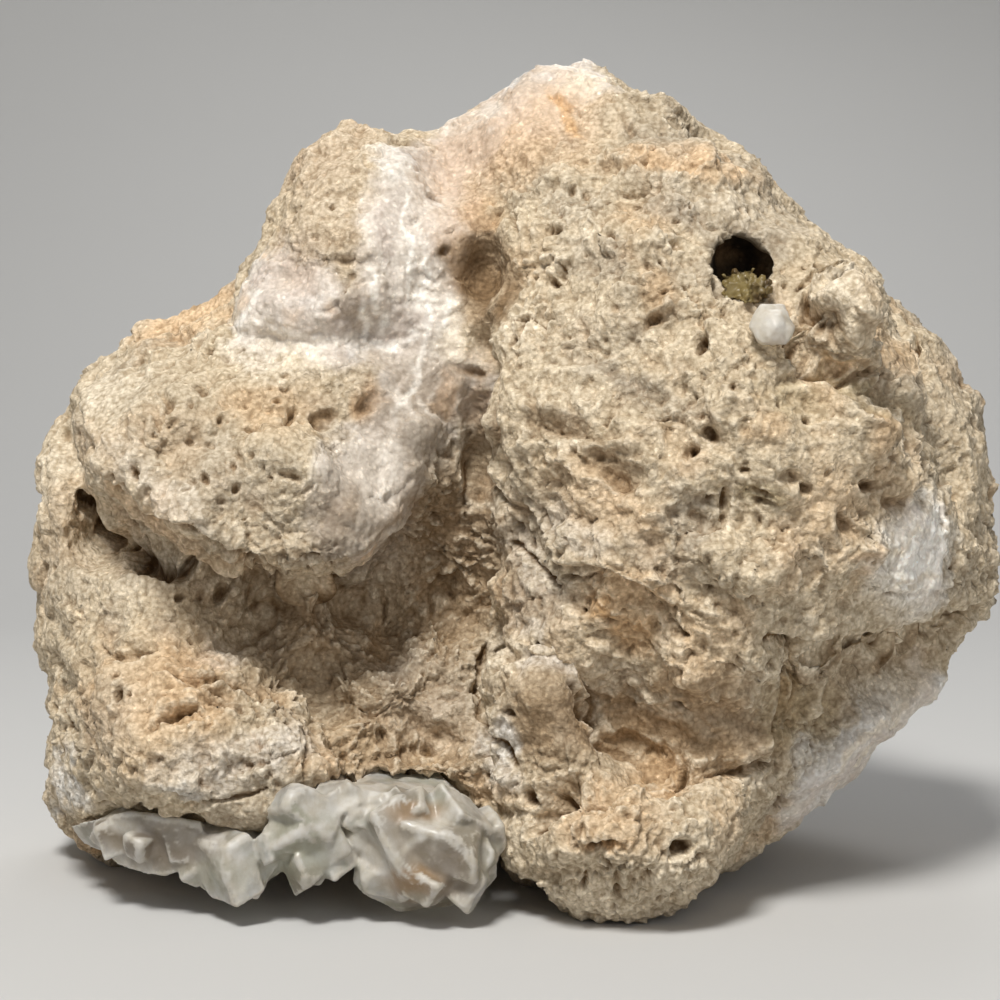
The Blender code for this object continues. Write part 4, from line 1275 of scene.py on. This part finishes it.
def build_crust():
    """The small crystals on the floor of the round hollow."""
    piece = new_object("vug_crust_fine", copy_of_nodes("crust", {"calcite_vug_crust": 0.3}))
    remesh(piece, SMALL_VOXEL, 2)
    mesh = piece.data
    points = read_points(mesh)
    near, second, _, own = cells(points, 1.5, 431)
    height = (0.5 + 0.7 * own[:, 0]) * smooth_step(0.0, 0.6, second - near) - 0.4
    shift = np.array([0.0, 3.2, 0.0])
    write_points(mesh, points + shift + read_normals(mesh) * height[:, None])
    colour = np.tile(linear(TONES["olive"]), (len(points), 1))
    lay(colour, "umber", 0.8 * smooth_step(0.0, 0.6, rough_noise(points, 4.0, 2, 435)))
    write_attribute(mesh, "tint", colour)
    finish_piece(piece, YELLOW, "yellow_calcite", "calcite_vug_crust")


def add_light(name, place, size, power, colour=(1.0, 1.0, 1.0), aim=(0.0, 0.0, 0.08)):
    """A soft square lamp that looks at the specimen; places here are metres."""
    lamp = bpy.data.lights.new(name, "AREA")
    lamp.size = size
    lamp.energy = power
    lamp.color = colour
    thing = new_object(name, lamp)
    thing.location = place
    thing.rotation_euler = (Vector(aim) - Vector(place)).to_track_quat("-Z", "Y").to_euler()


def build_studio():
    """A pale floor that sweeps up behind, soft lamps and the camera."""
    floor = bpy.data.meshes.new("floor")
    work = bmesh.new()
    reach = 3.0
    profile = [(-reach, 0.0), (0.5, 0.0)]
    for k in range(1, 13):
        angle = math.radians(90 * k / 12)
        profile.append((0.5 + 0.6 * math.sin(angle), 0.6 * (1 - math.cos(angle))))
    profile.append((1.1, 2.5))
    rows = [[work.verts.new((side * reach, y, z)) for y, z in profile] for side in (-1, 1)]
    for k in range(len(profile) - 1):
        work.faces.new((rows[0][k], rows[1][k], rows[1][k + 1], rows[0][k + 1]))
    work.to_mesh(floor)
    work.free()
    floor.shade_smooth()
    thing = new_object("floor", floor)
    paint, _, shader = new_material("pale floor")
    shader.inputs["Base Color"].default_value = (0.56, 0.555, 0.545, 1.0)
    shader.inputs["Roughness"].default_value = 0.9
    floor.materials.append(paint)

    add_light("key", (-0.2, -0.66, 1.02), 0.28, 15.0, (1.0, 0.985, 0.95))
    add_light("fill", (0.4, -0.9, 0.4), 0.6, 1.2)
    add_light("back", (0.1, 0.7, 0.8), 0.5, 2.5)
    world = bpy.data.worlds.new("studio")
    world.use_nodes = True
    back = world.node_tree.nodes["Background"]
    back.inputs["Color"].default_value = (0.85, 0.87, 0.9, 1.0)
    back.inputs["Strength"].default_value = 0.2
    scene = bpy.context.scene
    scene.world = world
    scene.view_settings.view_transform = "Standard"

    camera = bpy.data.cameras.new("camera")
    camera.lens = LENS
    camera.sensor_width = SENSOR
    camera.clip_start = 0.01
    view = new_object("camera", camera)
    view.location = CAMERA_AT * MM
    view.rotation_euler = (math.radians(90) - CAMERA_DIP, 0.0, 0.0)
    scene.camera = view


build_studio()
build_rock()
build_crystals()
build_single()
build_crust()
